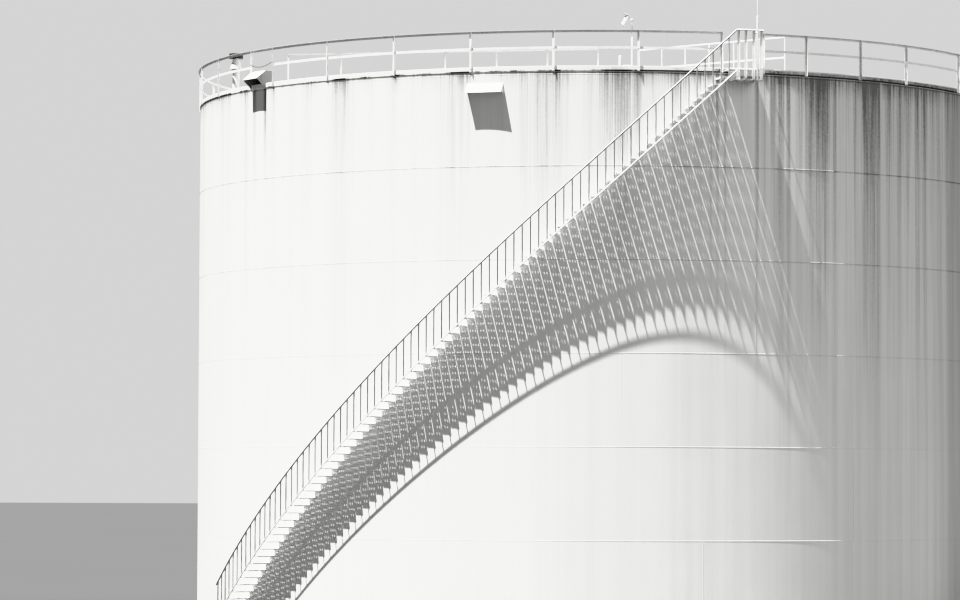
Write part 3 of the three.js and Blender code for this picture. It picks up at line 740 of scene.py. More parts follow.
def shader_group(name, sizes, results):
    """Empty shader group; gives the group, its inputs and the sockets of its results."""
    group = bpy.data.node_groups.new(name, "ShaderNodeTree")
    for label, value in sizes.items():
        socket = group.interface.new_socket(label, in_out="INPUT", socket_type="NodeSocketFloat")
        socket.default_value = value
    for label in results:
        group.interface.new_socket(label, in_out="OUTPUT", socket_type="NodeSocketFloat")
    return group, outputs(group.nodes.new("NodeGroupInput")), group.nodes.new("NodeGroupOutput").inputs


def noise(tree, spot, scale, detail, roughness):
    return made(tree, "ShaderNodeTexNoise", {
        "Vector": spot, "Scale": scale, "Detail": detail, "Roughness": roughness,
    })


def object_spot(tree):
    return made(tree, "ShaderNodeTexCoord", output="Object")


@cache
def rain_streaks():
    """Vertical streaks: a fine and a broad mask that hardly change with height."""
    tree, given, out = shader_group("rain_streaks", {"Fine": 30.0, "Broad": 5.0, "Stretch": 0.012},
                                    ("Fine mask", "Broad mask"))
    squash = vector(tree, 1.0, 1.0, given["Stretch"])
    spot = made(tree, "ShaderNodeVectorMath", {0: object_spot(tree), 1: squash}, operation="MULTIPLY")
    feed(out["Fine mask"], noise(tree, spot, given["Fine"], 3.0, 0.6).ramp(0.38, 0.66))
    feed(out["Broad mask"], noise(tree, spot, given["Broad"], 2.0, 0.5).ramp(0.35, 0.68))
    return tree


@cache
def chalked_paint():
    """Weathered paint: slow blotches, small specks and a fine grain for bump and gloss."""
    tree, given, out = shader_group("chalked_paint", {"Blotch": 0.8, "Speck": 60.0, "Grain": 400.0},
                                    ("Blotches", "Specks", "Grain height"))
    spot = object_spot(tree)
    feed(out["Blotches"], noise(tree, spot, given["Blotch"], 5.0, 0.6))
    feed(out["Specks"], noise(tree, spot, given["Speck"], 4.0, 0.7).ramp(0.62, 0.74))
    feed(out["Grain height"], noise(tree, spot, given["Grain"], 2.0, 0.5))
    return tree


@cache
def zinc_spangle():
    """Dull zinc: crystal patches of slightly different grey, with dull bloom over them."""
    tree, given, out = shader_group("zinc_spangle", {"Crystal": 60.0, "Bloom": 4.0}, ("Patch", "Bloom mask"))
    spot = object_spot(tree)
    cells = made(tree, "ShaderNodeTexVoronoi", {"Vector": spot, "Scale": given["Crystal"]}, "Color")
    feed(out["Patch"], made(tree, "ShaderNodeSeparateColor", {"Color": cells}))
    feed(out["Bloom mask"], noise(tree, spot, given["Bloom"], 5.0, 0.6).ramp(0.4, 0.65))
    return tree


def shared(tree, group_maker, **sizes):
    """Shader group placed in a material, with its own values; gives its results."""
    inputs = {label.capitalize(): value for label, value in sizes.items()}
    return outputs(add_node(tree, "ShaderNodeGroup", inputs, node_tree=group_maker()))


def mixed(tree, factor, first, second, blend="MIX"):
    """Colour between two, by a factor."""
    first, second = (part if isinstance(part, Value) else (*part, 1.0) for part in (first, second))
    return made(tree, "ShaderNodeMix", {0: factor, 6: first, 7: second}, 2, data_type="RGBA", blend_type=blend)


def new_material(name):
    """Empty material; gives it with the scene's finishes, its tree and its shader."""
    paint = bpy.data.materials.new(name)
    paint.use_nodes = True
    tree = paint.node_tree
    return paint, bpy.context.scene.tank_finish, tree, tree.nodes["Principled BSDF"]


def dress(shader, colour, roughness, height=None, strength=0.0, distance=0.0):
    """Feed a shader its colour, its roughness and the height of its bump."""
    feed(shader.inputs["Base Color"], colour)
    feed(shader.inputs["Roughness"], roughness)
    if height:
        feed(shader.inputs["Normal"], made(height.tree, "ShaderNodeBump", {
            "Height": height, "Strength": strength, "Distance": distance,
        }))


def wall_paint():
    """White wall paint with dirt streaks from the rim, dirty seams, soot on the kerb with a painted highlight
    along its top, and a black groove under the kerb that is grime and painted shade.
    """
    paint, finish, tree, shader = new_material("wall_paint")
    height = made(tree, "ShaderNodeSeparateXYZ", {0: object_spot(tree)}, "Z")
    leak, run, groove, soot, haze = (
        made(tree, "ShaderNodeAttribute", output="Fac", attribute_name=layer) for layer in DIRT_LAYERS
    )
    streak = shared(tree, rain_streaks, fine=30.0, broad=4.5, stretch=0.010)
    fine, broad = streak["Fine mask"], streak["Broad mask"]
    chalk = shared(tree, chalked_paint, blotch=0.5, speck=9.0, grain=160.0)
    mottle = noise(tree, object_spot(tree), 14.0, 4.0, 0.65)
    below = WALL_TOP - height
    on_wall = below.ramp(-0.02, 0.01)

    # Streaks start strong in the wall's upper part and die out over their own length
    tail = (1.0 - below / run).clamped()
    upper = below.ramp(0.0, 3.2, 1.0, 0.0) ** 1.5
    fade = (upper * 0.55 + tail * 0.5) * on_wall
    texture = leak * 0.15 + 0.06 + fine * 0.75 + broad * 0.35
    runs = leak * fade * (texture * (mottle + 0.5))

    # Brushed dirt close under the kerb
    near_rim = below.ramp(0.0, 0.6, 1.0, 0.0) ** 1.8
    rim_dirt = near_rim * (fine * 0.7 + mottle * 0.5) * (groove * 0.95) * on_wall

    # Film over wide parts, dirty lines under the seams that weaken towards the foot, and splashes there
    film = haze * (broad * 0.3 + 0.75) + broad * (fine * 0.05 + 0.025)
    joint = ((height - WALL_FOOT) / COURSE_HEIGHT).calc("FRACT")
    seam = joint.ramp(1.0 - finish.seam_width / COURSE_HEIGHT, 1.0)
    seam = seam * (broad * 0.6 + 0.4) * height.ramp(4.5, 12.5, 0.2, 1.0) ** 2.0
    splash = height.ramp(0.0, 0.5, 0.22, 0.0)

    # Thick dirt covers no more than all of the paint
    dirt = runs + rim_dirt + (film + seam) + splash
    dirt = (dirt / (dirt * 0.35 + 0.85)).clamped()
    clean = mixed(tree, 1.0, finish.paint, chalk["Blotches"] * 0.12 + 0.94, "MULTIPLY")
    colour = mixed(tree, dirt, clean, finish.dirt)

    # Soot on the kerb's face, thinned along its top edge as a painted highlight where the sun catches it
    kerb_face = height.ramp(WALL_TOP + 0.02, WALL_TOP + 0.04) * soot
    # Painted highlight: less soot along the kerb's top edge
    kerb_face = kerb_face * height.ramp(KERB_TOP - 0.035, KERB_TOP - 0.02, 1.0, 0.25)
    colour = mixed(tree, kerb_face * mottle.ramp(0.3, 0.6, 0.35, 1.0), colour, finish.soot)

    # Black line in the groove, and a weak one at the wall's top edge: grime, and painted shade in the recess
    # under the kerb's lip
    groove_grime_and_shade = height.ramp(WALL_TOP + 0.008, WALL_TOP + 0.020) * height.ramp(
        WALL_TOP + 0.056, WALL_TOP + 0.066, 1.0, 0.0)
    edge_grime_and_shade = height.ramp(WALL_TOP - 0.050, WALL_TOP - 0.035) * height.ramp(WALL_TOP - 0.015, WALL_TOP, 0.3, 0.0)
    uneven = mottle * 1.1 + (broad * 0.35 + groove)
    colour = mixed(tree, (groove_grime_and_shade + edge_grime_and_shade) * uneven.ramp(0.95, 1.35), colour, finish.grime)
    dress(shader, colour, (dirt * 0.3 + 0.5).clamped(), chalk["Grain height"], 0.15, 0.002)
    return paint


def coat(name, dirt_share=0.35, rough=0.42, speck_scale=60.0, underside_shade=0.6, level=0.0):
    """Painted steel with blotches and specks, and with painted shade in the soot colour on faces that look down
    past a level.
    """
    paint, finish, tree, shader = new_material(name)
    chalk = shared(tree, chalked_paint, blotch=3.0, speck=speck_scale, grain=500.0)
    streak = shared(tree, rain_streaks, fine=14.0, broad=4.0, stretch=0.25)
    runs = streak["Fine mask"] * streak["Broad mask"] * 0.5
    dirt = ((chalk["Specks"] * 0.5 + runs) * dirt_share).clamped()
    clean = mixed(tree, 1.0, finish.paint, chalk["Blotches"] * 0.14 + 0.93, "MULTIPLY")
    normal = made(tree, "ShaderNodeNewGeometry", output="Normal")
    facing = made(tree, "ShaderNodeSeparateXYZ", {0: normal}, "Z")
    # Painted shade: faces that look down past the level turn towards the soot colour
    painted_shade = facing.ramp(level, level - 0.45, 0.0, underside_shade)
    colour = mixed(tree, painted_shade, mixed(tree, dirt, clean, finish.dirt), finish.soot)
    dress(shader, colour, chalk["Blotches"] * 0.2 + rough, chalk["Grain height"], 0.12, 0.001)
    return paint


def roof_paint():
    """Roof plates: each plate its own tone, with dirt along the laps and in slow pools."""
    paint, finish, tree, shader = new_material("roof_paint")
    roof = bpy.context.scene.tank_roof
    x, y = (made(tree, "ShaderNodeSeparateXYZ", {0: object_spot(tree)}, axis) for axis in "XY")
    rows = y / roof.plate_width
    row = rows.calc("FLOOR")
    columns = (row * (roof.plate_length * ROW_SHIFT) + x) / roof.plate_length
    tone = made(tree, "ShaderNodeTexWhiteNoise", {"Vector": vector(tree, row, columns.calc("FLOOR"))}, "Value")
    chalk = shared(tree, chalked_paint, blotch=0.5, speck=8.0, grain=200.0)
    edge = rows.calc("FRACT").ramp(0.0, 0.06, 0.7, 0.0)
    pools = chalk["Blotches"].ramp(0.5, 0.7) * 0.4
    dirt = (edge * chalk["Blotches"] + pools + tone * 0.3).clamped()
    colour = mixed(tree, dirt, finish.roof, finish.dirt)
    dress(shader, colour, dirt * 0.3 + 0.5, chalk["Grain height"], 0.15, 0.002)
    return paint


def zinc():
    """Dull weathered zinc."""
    paint, finish, tree, shader = new_material("zinc")
    coating = shared(tree, zinc_spangle)
    light = [min(1.0, part * 1.25) for part in finish.zinc]
    patchy = mixed(tree, coating["Patch"], finish.zinc, light)
    colour = mixed(tree, coating["Bloom mask"] * 0.5, patchy, finish.bloom)
    shader.inputs["Metallic"].default_value = 0.2
    dress(shader, colour, coating["Bloom mask"] * 0.25 + 0.42)
    return paint


def dark_steel():
    """Nearly black weathered steel of the bolts, the chain and the breather's cap."""
    paint, finish, tree, shader = new_material("dark_steel")
    chalk = shared(tree, chalked_paint, blotch=6.0, speck=120.0, grain=600.0)
    colour = mixed(tree, chalk["Specks"] * 0.5, finish.grime, finish.dirt)
    dress(shader, colour, chalk["Blotches"] * 0.3 + 0.4)
    return paint


def lamp_glass():
    """Pale ribbed glass of the floodlight."""
    paint, _, tree, shader = new_material("lamp_glass")
    ribs = made(tree, "ShaderNodeTexWave", {"Vector": object_spot(tree), "Scale": 40.0}, "Fac")
    dress(shader, (0.75, 0.76, 0.76, 1.0), ribs * 0.1 + 0.12, ribs, 0.4, 0.002)
    return paint


@cache
def material(name):
    """Material by its name."""
    if name in COATS:
        return coat(name, **COATS[name])
    makers = (wall_paint, roof_paint, zinc, dark_steel, lamp_glass)
    return {maker.__name__: maker for maker in makers}[name]()


# Dirt by angle

@cache
def all_streaks():
    """The named streaks, and like ones on the side that they don't reach."""
    draw = random.Random(SEED)
    hidden = [(
        draw.uniform(60, 302), draw.choice((0.12, 0.3, 0.5, 0.9)), draw.uniform(0.15, 0.7), draw.uniform(6, 11),
    ) for _ in range(UNSEEN_STREAKS)]
    return list(STREAKS) + hidden


def gap(angle, centre, width):
    """Distance between two angles, in half widths."""
    return ((angle - centre + 180) % 360 - 180) / width


def patches(angle, spots):
    return min(1.2, sum(strength * exp(-gap(angle, centre, width) ** 2) for centre, width, strength in spots))


@cache
def wall_dirt(angle):
    """How dirty the wall is at an angle, as one number for each of the dirt layers."""
    shares = [(strength * exp(-gap(angle, centre, width) ** 2), length)
              for centre, width, strength, length in all_streaks()
              if abs(gap(angle, centre, width)) < STREAK_REACH]
    leak = sum(share for share, _ in shares)
    run = sum(share * length for share, length in shares) / (leak + 1e-6)
    groove = UNSEEN_GROOVE if abs(angle) > UNSEEN_FROM else patches(angle, GROOVE_DIRT)
    return min(1.6, leak), max(run, 1.0), groove, patches(angle, KERB_SOOT), patches(angle, FILMS)


# Small parts

def hex_bolt(size, shank=0.0):
    """Bolt head with its washer, standing along Z on the plane z = 0."""
    washer, edge, core = size * 1.05, size * 0.16, size * 0.5
    shape = Shape().turn([(0, 0), (washer, 0), (washer, edge), (0, edge)], 12)
    shape.prism(circle(size * 0.9, 6), size * 0.15, size * 0.8)
    if shank:
        shape.turn([(0, size * 0.7), (core, size * 0.7), (core, shank), (0, shank)], 8)
    return shape


# Settings

def length(name, description, default):
    return FloatProperty(name=name, description=description, default=default, unit="LENGTH")


def number(name, description, default):
    return FloatProperty(name=name, description=description, default=default)


def swing(name, description, default):
    return FloatProperty(name=name, description=description, default=default, subtype="ANGLE")


def tint(name, description, default):
    return FloatVectorProperty(name=name, description=description, default=default, subtype="COLOR", size=3,
                               min=0, max=1)


class ShellSettings(PropertyGroup):
    """Sizes of the wall's welds"""

    bead_radius: length("Bead radius", "Radius of the girth weld beads", 0.012)
    bead_proud: length("Bead proud", "How far a bead stands out from the wall", 0.0034)
    plates: IntProperty(name="Plates", description="Plates in one course", default=8)


class RimSettings(PropertyGroup):
    """Sizes of the rim rail's steel"""

    steel: length("Steel", "Thickness of the rail's angles", 0.006)
    bolt: length("Bolt", "Radius of the bolt heads' hexagon", 0.016)


class StairSettings(PropertyGroup):
    """Sizes of the treads and pipes"""

    sheet: length("Tread sheet", "Thickness of the folded tread sheet", 0.003)
    slot_length: length("Slot length", "Length of a slot across the tread", 0.020)
    slot_width: length("Slot width", "Width of a slot along the tread", 0.014)
    slot_rows: IntProperty(name="Slot rows", description="Rows of slots in a tread", default=11)
    slot_pitch: length("Row pitch", "Distance between rows of slots", 0.0487)
    handrail: length("Handrail radius", "Radius of the handrail's pipe", 0.021)
    stringer: length("Stringer radius", "Radius of the outer stringer's pipe", 0.0175)


class RoofSettings(PropertyGroup):
    """Sizes of the roof plates and the walkways' gratings"""

    plate_width: length("Plate width", "Width of a roof plate", 2.4)
    plate_length: length("Plate length", "Length of a roof plate", 6.1)
    bar_pitch: length("Bar pitch", "Distance between a grating's bars", 0.03)
    rod_pitch: length("Rod pitch", "Distance between a grating's rods", 0.1)


class FinishSettings(PropertyGroup):
    """Colours of the paint, the zinc and the dirt"""

    paint: tint("Paint", "White paint", (0.82, 0.82, 0.81))
    dirt: tint("Dirt", "Rain-washed dirt", (0.16, 0.16, 0.155))
    # Grime also serves as the painted shade in the groove under the kerb
    grime: tint("Grime", "Black grime and old bolts", (0.025, 0.025, 0.024))
    roof: tint("Roof", "Old chalked paint on the roof", (0.52, 0.52, 0.51))
    # Soot also serves as the painted shade on steel faces that look down
    soot: tint("Soot", "Sooty dirt in sheltered places", (0.09, 0.09, 0.088))
    zinc: tint("Zinc", "Dull zinc", (0.62, 0.63, 0.63))
    bloom: tint("Bloom", "White bloom on zinc", (0.78, 0.79, 0.79))
    seam_width: length("Seam dirt", "Height of the dirt line under a seam", 0.05)


class StageSettings(PropertyGroup):
    """Camera and daylight"""

    distance: length("Distance", "Camera's distance in front of the axis", 109.9)
    aside: length("Aside", "Camera's distance to the right of the axis", -0.5)
    eye_height: length("Eye height", "Camera's height", 4.04)
    lens: number("Lens", "Focal length in millimetres", 142.4)
    yaw: swing("Yaw", "Camera's turn to the left", radians(1.476))
    pitch: swing("Pitch", "Camera's tilt upwards", radians(2.698))
    roll: swing("Roll", "Camera's roll", radians(0.183))
    sun_angle: number("Sun's side", "Sun's angle round the tank from the front", -56.5)
    sun_rise: number("Sun's height", "Sun's angle above the horizon", 70.8)
    sun_power: number("Sun's power", "Strength of the sun", 14.5)
    sun_width: swing("Sun's width", "Angle that the sun's disc fills", 0.0085)
    fill_angle: number("Fill's side", "Soft light's angle round the tank from the front", 70.0)
    fill_rise: number("Fill's height", "Soft light's angle above the horizon", 18.0)
    fill_power: number("Fill's power", "Strength of the soft light from the right", 1.7)
    fill_width: swing("Fill's width", "Angle that the soft light fills", 1.2)
    sky: number("Sky", "Brightness of the backdrop", 0.70)
    sky_light: number("Sky light", "Brightness that the sky lends the tank", 0.12)
    floor: tint("Floor", "Floor's colour", (0.092, 0.092, 0.092))


# Operators

class TANK_OT_stage(Operator):
    """Plain floor, daylight and the camera"""

    bl_idname = "tank.build_stage"
    bl_label = "Stage"

    def execute(self, context):
        stage = context.scene.tank_stage
        self.add_floor(stage)
        self.add_camera(context.scene, stage)
        self.add_sky(context.scene, stage)
        self.add_sun("sun", stage.sun_angle, stage.sun_rise, stage.sun_power, stage.sun_width)
        self.add_sun("soft_fill", stage.fill_angle, stage.fill_rise, stage.fill_power, stage.fill_width)
        context.scene.view_settings.view_transform = "Khronos PBR Neutral"
        return {"FINISHED"}

    def add_floor(self, stage):
        reach, depth, clearance = 500.0, 0.5, 0.002
        mesh = Shape().block((-reach, -reach, -depth), (reach, reach, -clearance)).mesh()
        paint, _, tree, shader = new_material("floor_grey")
        grain = noise(tree, object_spot(tree), 0.05, 3.0, 0.55)
        dress(shader, mixed(tree, grain, stage.floor, [part * 0.94 for part in stage.floor]), 0.9)
        shader.inputs["Specular IOR Level"].default_value = 0.0
        mesh.materials.append(paint)
        floor = linked("floor", mesh)

    def add_camera(self, scene, stage):
        lens = bpy.data.cameras.new("camera")
        lens.lens = stage.lens
        lens.sensor_width = 36.0
        lens.clip_end = 2000.0
        scene.camera = linked("camera", lens)
        scene.camera.matrix_world = (
            Matrix.Translation((stage.aside, -stage.distance, stage.eye_height))
            @ Matrix.Rotation(stage.yaw, 4, "Z") @ Matrix.Rotation(pi / 2 + stage.pitch, 4, "X")
            @ Matrix.Rotation(stage.roll, 4, "Z")
        )

    def add_sky(self, scene, stage):
        """World that lends the tank less light than the backdrop shows."""
        world = bpy.data.worlds.new("sky")
        world.use_nodes = True
        tree = world.node_tree
        tree.nodes.clear()
        lent, seen = (
            made(tree, "ShaderNodeBackground", {"Color": (1, 1, 1, 1), "Strength": strength})
            for strength in (stage.sky_light, stage.sky)
        )
        eye = made(tree, "ShaderNodeLightPath", output="Is Camera Ray")
        both = made(tree, "ShaderNodeMixShader", {0: eye, 1: lent, 2: seen})
        add_node(tree, "ShaderNodeOutputWorld", {"Surface": both})
        scene.world = world

    def add_sun(self, name, angle, rise, power, width):
        light = bpy.data.lights.new(name, "SUN")
        light.energy = power
        light.angle = width
        towards = place(angle, cos(radians(rise)), sin(radians(rise)))
        sun = linked(name, light)
        sun.rotation_euler = towards.to_track_quat("Z", "Y").to_euler()
        sun.location = towards * 60


class TANK_OT_shell(Operator):
    """Floor plate, wall courses and their welds"""

    bl_idname = "tank.build_shell"
    bl_label = "Floor and wall"

    def execute(self, context):
        settings = context.scene.tank_shell
        floor = Shape().turn([
            (0, 0), (FLOOR_RADIUS, 0), (FLOOR_RADIUS, WALL_FOOT * 0.8), (FLOOR_RADIUS - 0.002, WALL_FOOT),
            (0, WALL_FOOT),
        ], ROUND_STEPS)
        wall_piece("floor_plate", floor.mesh(), "bottom_plate")
        for index, thickness in enumerate(PLATE_THICKNESSES):
            self.add_course(index, thickness)
        self.add_girth_welds(settings)
        self.add_upright_welds(settings)
        return {"FINISHED"}

    def add_course(self, index, thickness):
        foot = WALL_FOOT + index * COURSE_HEIGHT
        head = foot + COURSE_HEIGHT
        inner = WALL_RADIUS - thickness
        course = Shape().ring([(WALL_RADIUS, foot), (WALL_RADIUS, head), (inner, head), (inner, foot)],
                              WALL_COLUMNS)
        mesh = course.mesh()
        if index == 0:
            mesh = cut(mesh, [self.bore(fitting) for fitting in (MANHOLE, NOZZLE)])
        if index == COURSES - 1:
            mesh = cut(mesh, [self.vent_hole(angle) for angle in VENT_ANGLES])
        wall_piece(f"wall_course_{index + 1}", mesh, f"shell_course_{index + 1}")

    def bore(self, fitting):
        inner, outer = (place(fitting["angle"], WALL_RADIUS + out, fitting["centre"])
                        for out in (-CUT_DEPTH, CUT_DEPTH))
        return Shape().rod(inner, outer, fitting["bore"], 64).mesh()

    def vent_hole(self, angle):
        width, foot, head = VENT_HOLE
        return Shape().block((-width / 2, -WALL_RADIUS - CUT_DEPTH, foot),
                             (width / 2, -WALL_RADIUS + CUT_DEPTH, head), turned(angle)).mesh()

    def add_girth_welds(self, settings):
        """Beads at the seams, at the wall's foot and under the kerb."""
        centre = WALL_RADIUS + settings.bead_proud - settings.bead_radius
        rows = ((COURSES - 1, WALL_FOOT + COURSE_HEIGHT, COURSE_HEIGHT),
                (2, WALL_FOOT + 0.004, WALL_TOP - 0.06 - WALL_FOOT))
        wall_piece("girth_welds", joined([
            grown(girth_beads, radius=centre, bead_radius=settings.bead_radius, segments=ROUND_STEPS,
                  count=count, first_lift=first, lift_step=step, finish=material("wall_paint"))
            for count, first, step in rows
        ]))

    def add_upright_welds(self, settings):
        half, proud, ease = 0.011, 0.004, 0.012
        seam = Shape().prism([
            (-half, -WALL_RADIUS + 0.001), (half, -WALL_RADIUS + 0.001),
            (half * 0.5, -WALL_RADIUS - proud), (-half * 0.5, -WALL_RADIUS - proud),
        ], ease, COURSE_HEIGHT - ease)
        runs = [(settings.plates, first, 360 / settings.plates, WALL_FOOT + i * COURSE_HEIGHT, 0)
                for i, first in enumerate(SEAM_ANGLES)]
        wall_piece("upright_welds", repeated(seam.mesh(), "wall_paint", *runs))


class TANK_OT_kerb(Operator):
    """Kerb with the groove under it"""

    bl_idname = "tank.build_kerb"
    bl_label = "Kerb"

    def execute(self, context):
        inner = WALL_RADIUS - 0.09
        neck = WALL_RADIUS + 0.001
        ledge = WALL_TOP + 0.014
        wall = KERB_RADIUS - 0.012
        section = [
            (inner, WALL_TOP), (neck, WALL_TOP), (neck, WALL_TOP + 0.030),
            (KERB_RADIUS - 0.002, WALL_TOP + 0.034), (KERB_RADIUS, WALL_TOP + 0.037),
            (KERB_RADIUS, KERB_TOP - 0.004), (KERB_RADIUS - 0.003, KERB_TOP), (wall + 0.002, KERB_TOP),
            (wall, KERB_TOP - 0.003), (wall, ledge + 0.004), (wall - 0.004, ledge), (inner, ledge),
        ]
        wall_piece("kerb", Shape().ring(section, KERB_COLUMNS).mesh(), "top_kerb")
        return {"FINISHED"}


class TANK_OT_roof(Operator):
    """Cone roof with the laps of its plates"""

    bl_idname = "tank.build_roof"
    bl_label = "Roof"

    def execute(self, context):
        settings = context.scene.tank_roof
        radii = spread(0, ROOF_RADIUS, 12)
        under = [(r, roof_height(r, 0) - ROOF_THICKNESS) for r in radii]
        over = [(r, roof_height(r, 0) - ROOF_EASE) for r in reversed(radii)]
        piece("cone_roof", Shape().turn(under + over, 360), "roof_paint", "shell_paint", "roof_plate")
        piece("roof_laps", self.laps(settings.plate_width, settings.plate_length), "roof_paint", "shell_paint")
        return {"FINISHED"}

    def laps(self, width, length):
        """Lap joints as low ridges that follow the cone."""
        shape = Shape()
        limit = ROOF_RADIUS - 0.15
        rows = int(limit / width)
        for row in range(-rows, rows + 1):
            y = row * width
            reach = (limit ** 2 - y ** 2) ** 0.5
            self.add_ridge(shape, [(x, y) for x in spread(-reach, reach, 48)])
        for row in range(-rows - 1, rows + 1):
            low, high = row * width, (row + 1) * width
            shift = -row * length * ROW_SHIFT
            first = int((-limit - shift) / length) - 1
            for k in range(first, first + 8):
                x = k * length + shift
                if abs(x) >= limit:
                    continue
                top = (limit ** 2 - x ** 2) ** 0.5
                start, end = max(low, -top), min(high, top)
                if end - start > 0.2:
                    self.add_ridge(shape, [(x, y) for y in spread(start, end, 8)])
        return shape

    def add_ridge(self, shape, line):
        ahead = Vector((line[1][0] - line[0][0], line[1][1] - line[0][1])).normalized()
        side = Vector((-ahead.y, ahead.x))
        outline = ((-LAP_HALF, -0.002), (LAP_HALF, -0.002), (LAP_HALF * 0.4, LAP_HEIGHT),
                   (-LAP_HALF * 0.4, LAP_HEIGHT))
        rings = []
        for x, y in line:
            ring = []
            for offset, lift in outline:
                px, py = x + side.x * offset, y + side.y * offset
                level = min(roof_height(px, py), ROOF_PEAK - ROOF_THICKNESS)
                ring.append((px, py, level + lift - ROOF_EASE))
            rings.append(ring)
        shape.sweep(rings)


def rail_sections():
    """Name, post angles, start and end angle of every length of rim rail."""
    front = [FRONT_START + i * BAY for i in range(7)]
    middle = front[3] + RAIL_OVERHANG
    sections = [
        ("rim_rail_1", front[:4], front[0] - RAIL_OVERHANG, middle),
        ("rim_rail_2", front[4:], middle + RAIL_SEAM, front[6] + RAIL_OVERHANG),
        ("rim_rail_3", RIGHT_POSTS, RIGHT_POSTS[0] - RAIL_OVERHANG, RIGHT_POSTS[-1] + RAIL_OVERHANG),
    ]
    post = RIGHT_POSTS[-1]
    start = post + RAIL_OVERHANG + RAIL_SEAM
    pitch = (360 + FRONT_START - GATE_SPAN - post) / sum(BACK_SECTIONS)
    for i, count in enumerate(BACK_SECTIONS, 4):
        posts = [post + (k + 1) * pitch for k in range(count)]
        post = posts[-1]
        end = post + RAIL_OVERHANG
        sections.append((f"rim_rail_{i}", posts, start, end))
        start = end + RAIL_SEAM
    return sections


class TANK_OT_rim_rails(Operator):
    """Guardrail round the rim, with its posts and bolts"""

    bl_idname = "tank.build_rim_rails"
    bl_label = "Rim rails"

    def execute(self, context):
        steel = context.scene.tank_rim.steel
        post = self.post(steel).mesh()
        bolts = self.bolts(steel, context.scene.tank_rim.bolt).mesh()
        top = angle_steel((RAIL_INNER, RAIL_TOP), RAIL_OUTER, RAIL_TOP - RAIL_LEG, steel)
        bar = rectangle(RAIL_INNER, RAIL_INNER + MID_RAIL_PLATE, MID_RAIL_TOP - RAIL_LEG, MID_RAIL_TOP)
        # Over the chain, the first length's top rail runs on to the end of the last length
        gate_start = FRONT_START - GATE_SPAN + RAIL_OVERHANG + RAIL_SEAM
        for name, angles, start, end in rail_sections():
            runs = [(1, angle, 0, 0, 0) for angle in angles]
            steps = max(8, round((end - start) / 0.5))
            top_start = gate_start if name == "rim_rail_1" else start
            parts = {
                "rail_angle": Shape().arc(top, top_start, end, steps),
                "mid_bar": Shape().arc(bar, start, end, steps),
                "posts": repeated(post, "rail_paint", *runs),
                "bolts": repeated(bolts, "rail_paint", *runs),
            }
            for part, form in parts.items():
                piece(name.replace("rail", part), form, "rail_paint", "rail_paint", name)
        return {"FINISHED"}

    def post(self, steel):
        """Angle-section post on the kerb's face, its corner at the right."""
        half = RAIL_LEG / 2
        outline = angle_steel((half, -POST_FACE), -half, -WALL_RADIUS - 0.066, steel)
        return Shape().prism(outline, POST_FOOT, RAIL_TOP - 0.0065)

    def bolts(self, steel, size):
        """Bolts through the post's foot, the mid bar and the top rail."""
        shape = Shape()
        bolt = hex_bolt(size * 0.9)
        for height in (POST_FOOT + 0.03, POST_FOOT + 0.095, MID_RAIL_TOP - 0.03, RAIL_TOP - 0.03):
            shape.add(bolt.corners, bolt.faces, outward(0, POST_FACE + steel, height, -0.006))
        return shape


class TANK_OT_gate_chain(Operator):
    """Slack chain across the gap in the rim rail"""

    bl_idname = "tank.build_gate_chain"
    bl_label = "Gate chain"

    def execute(self, context):
        start = FRONT_START - GATE_SPAN + degrees(0.018 / CHAIN_RADIUS)
        end = FRONT_START - degrees(0.034 / CHAIN_RADIUS)
        span = radians(end - start) * CHAIN_RADIUS
        mesh = grown(slack_links, link=self.link().mesh(), count=round(span / LINK_PITCH),
                     radius=CHAIN_RADIUS, first_turn=start, last_turn=end, lift=CHAIN_LIFT, sag=CHAIN_SAG,
                     finish=material("dark_steel"))
        piece("chain", smoothed(mesh), "dark_steel", "galvanised_steel", "gate_chain")
        return {"FINISHED"}

    def link(self):
        """Flat oval of round wire."""
        bend = LINK_WIDTH / 2
        rings = []
        for x, y in circle(1, 12):
            half = (x > 0.01) - (x < -0.01)
            centre = Vector((half * (LINK_LENGTH / 2 - bend) + bend * x, bend * y, 0))
            rings.append([centre + Vector((x, y, 0)) * a + Vector((0, 0, b)) for a, b in circle(LINK_WIRE, 6)])
        return Shape().sweep(rings, closed=True)


def flight_runs():
    """Number, first tread and tread count of every flight."""
    first = 1
    for flight, count in enumerate(FLIGHTS, 1):
        yield flight, first, count
        first += count


def stair_angle(k):
    return STAIR_HEAD - (RISERS - k) * STEP_TURN


def climb(first, count):
    """Run of copies, one on each tread of a flight."""
    return count, stair_angle(first), STEP_TURN, first * RISE, RISE


def long_bar(radius, first, count, height, thickness, paint):
    """Helix pipe over one flight, which meets the next flight's end to end."""
    last = first + count - 1
    start = first - 0.499
    end = last + (0.96 if last == RISERS - 1 else 0.499)
    return smoothed(grown(
        helix_pipe, radius=radius, first_turn=stair_angle(start), last_turn=stair_angle(end),
        first_lift=start * RISE + height, last_lift=end * RISE + height, steps=4 * count,
        pipe_radius=thickness, sides=PIPE_SIDES, finish=material(paint),
    ), PIPE_SHARP)


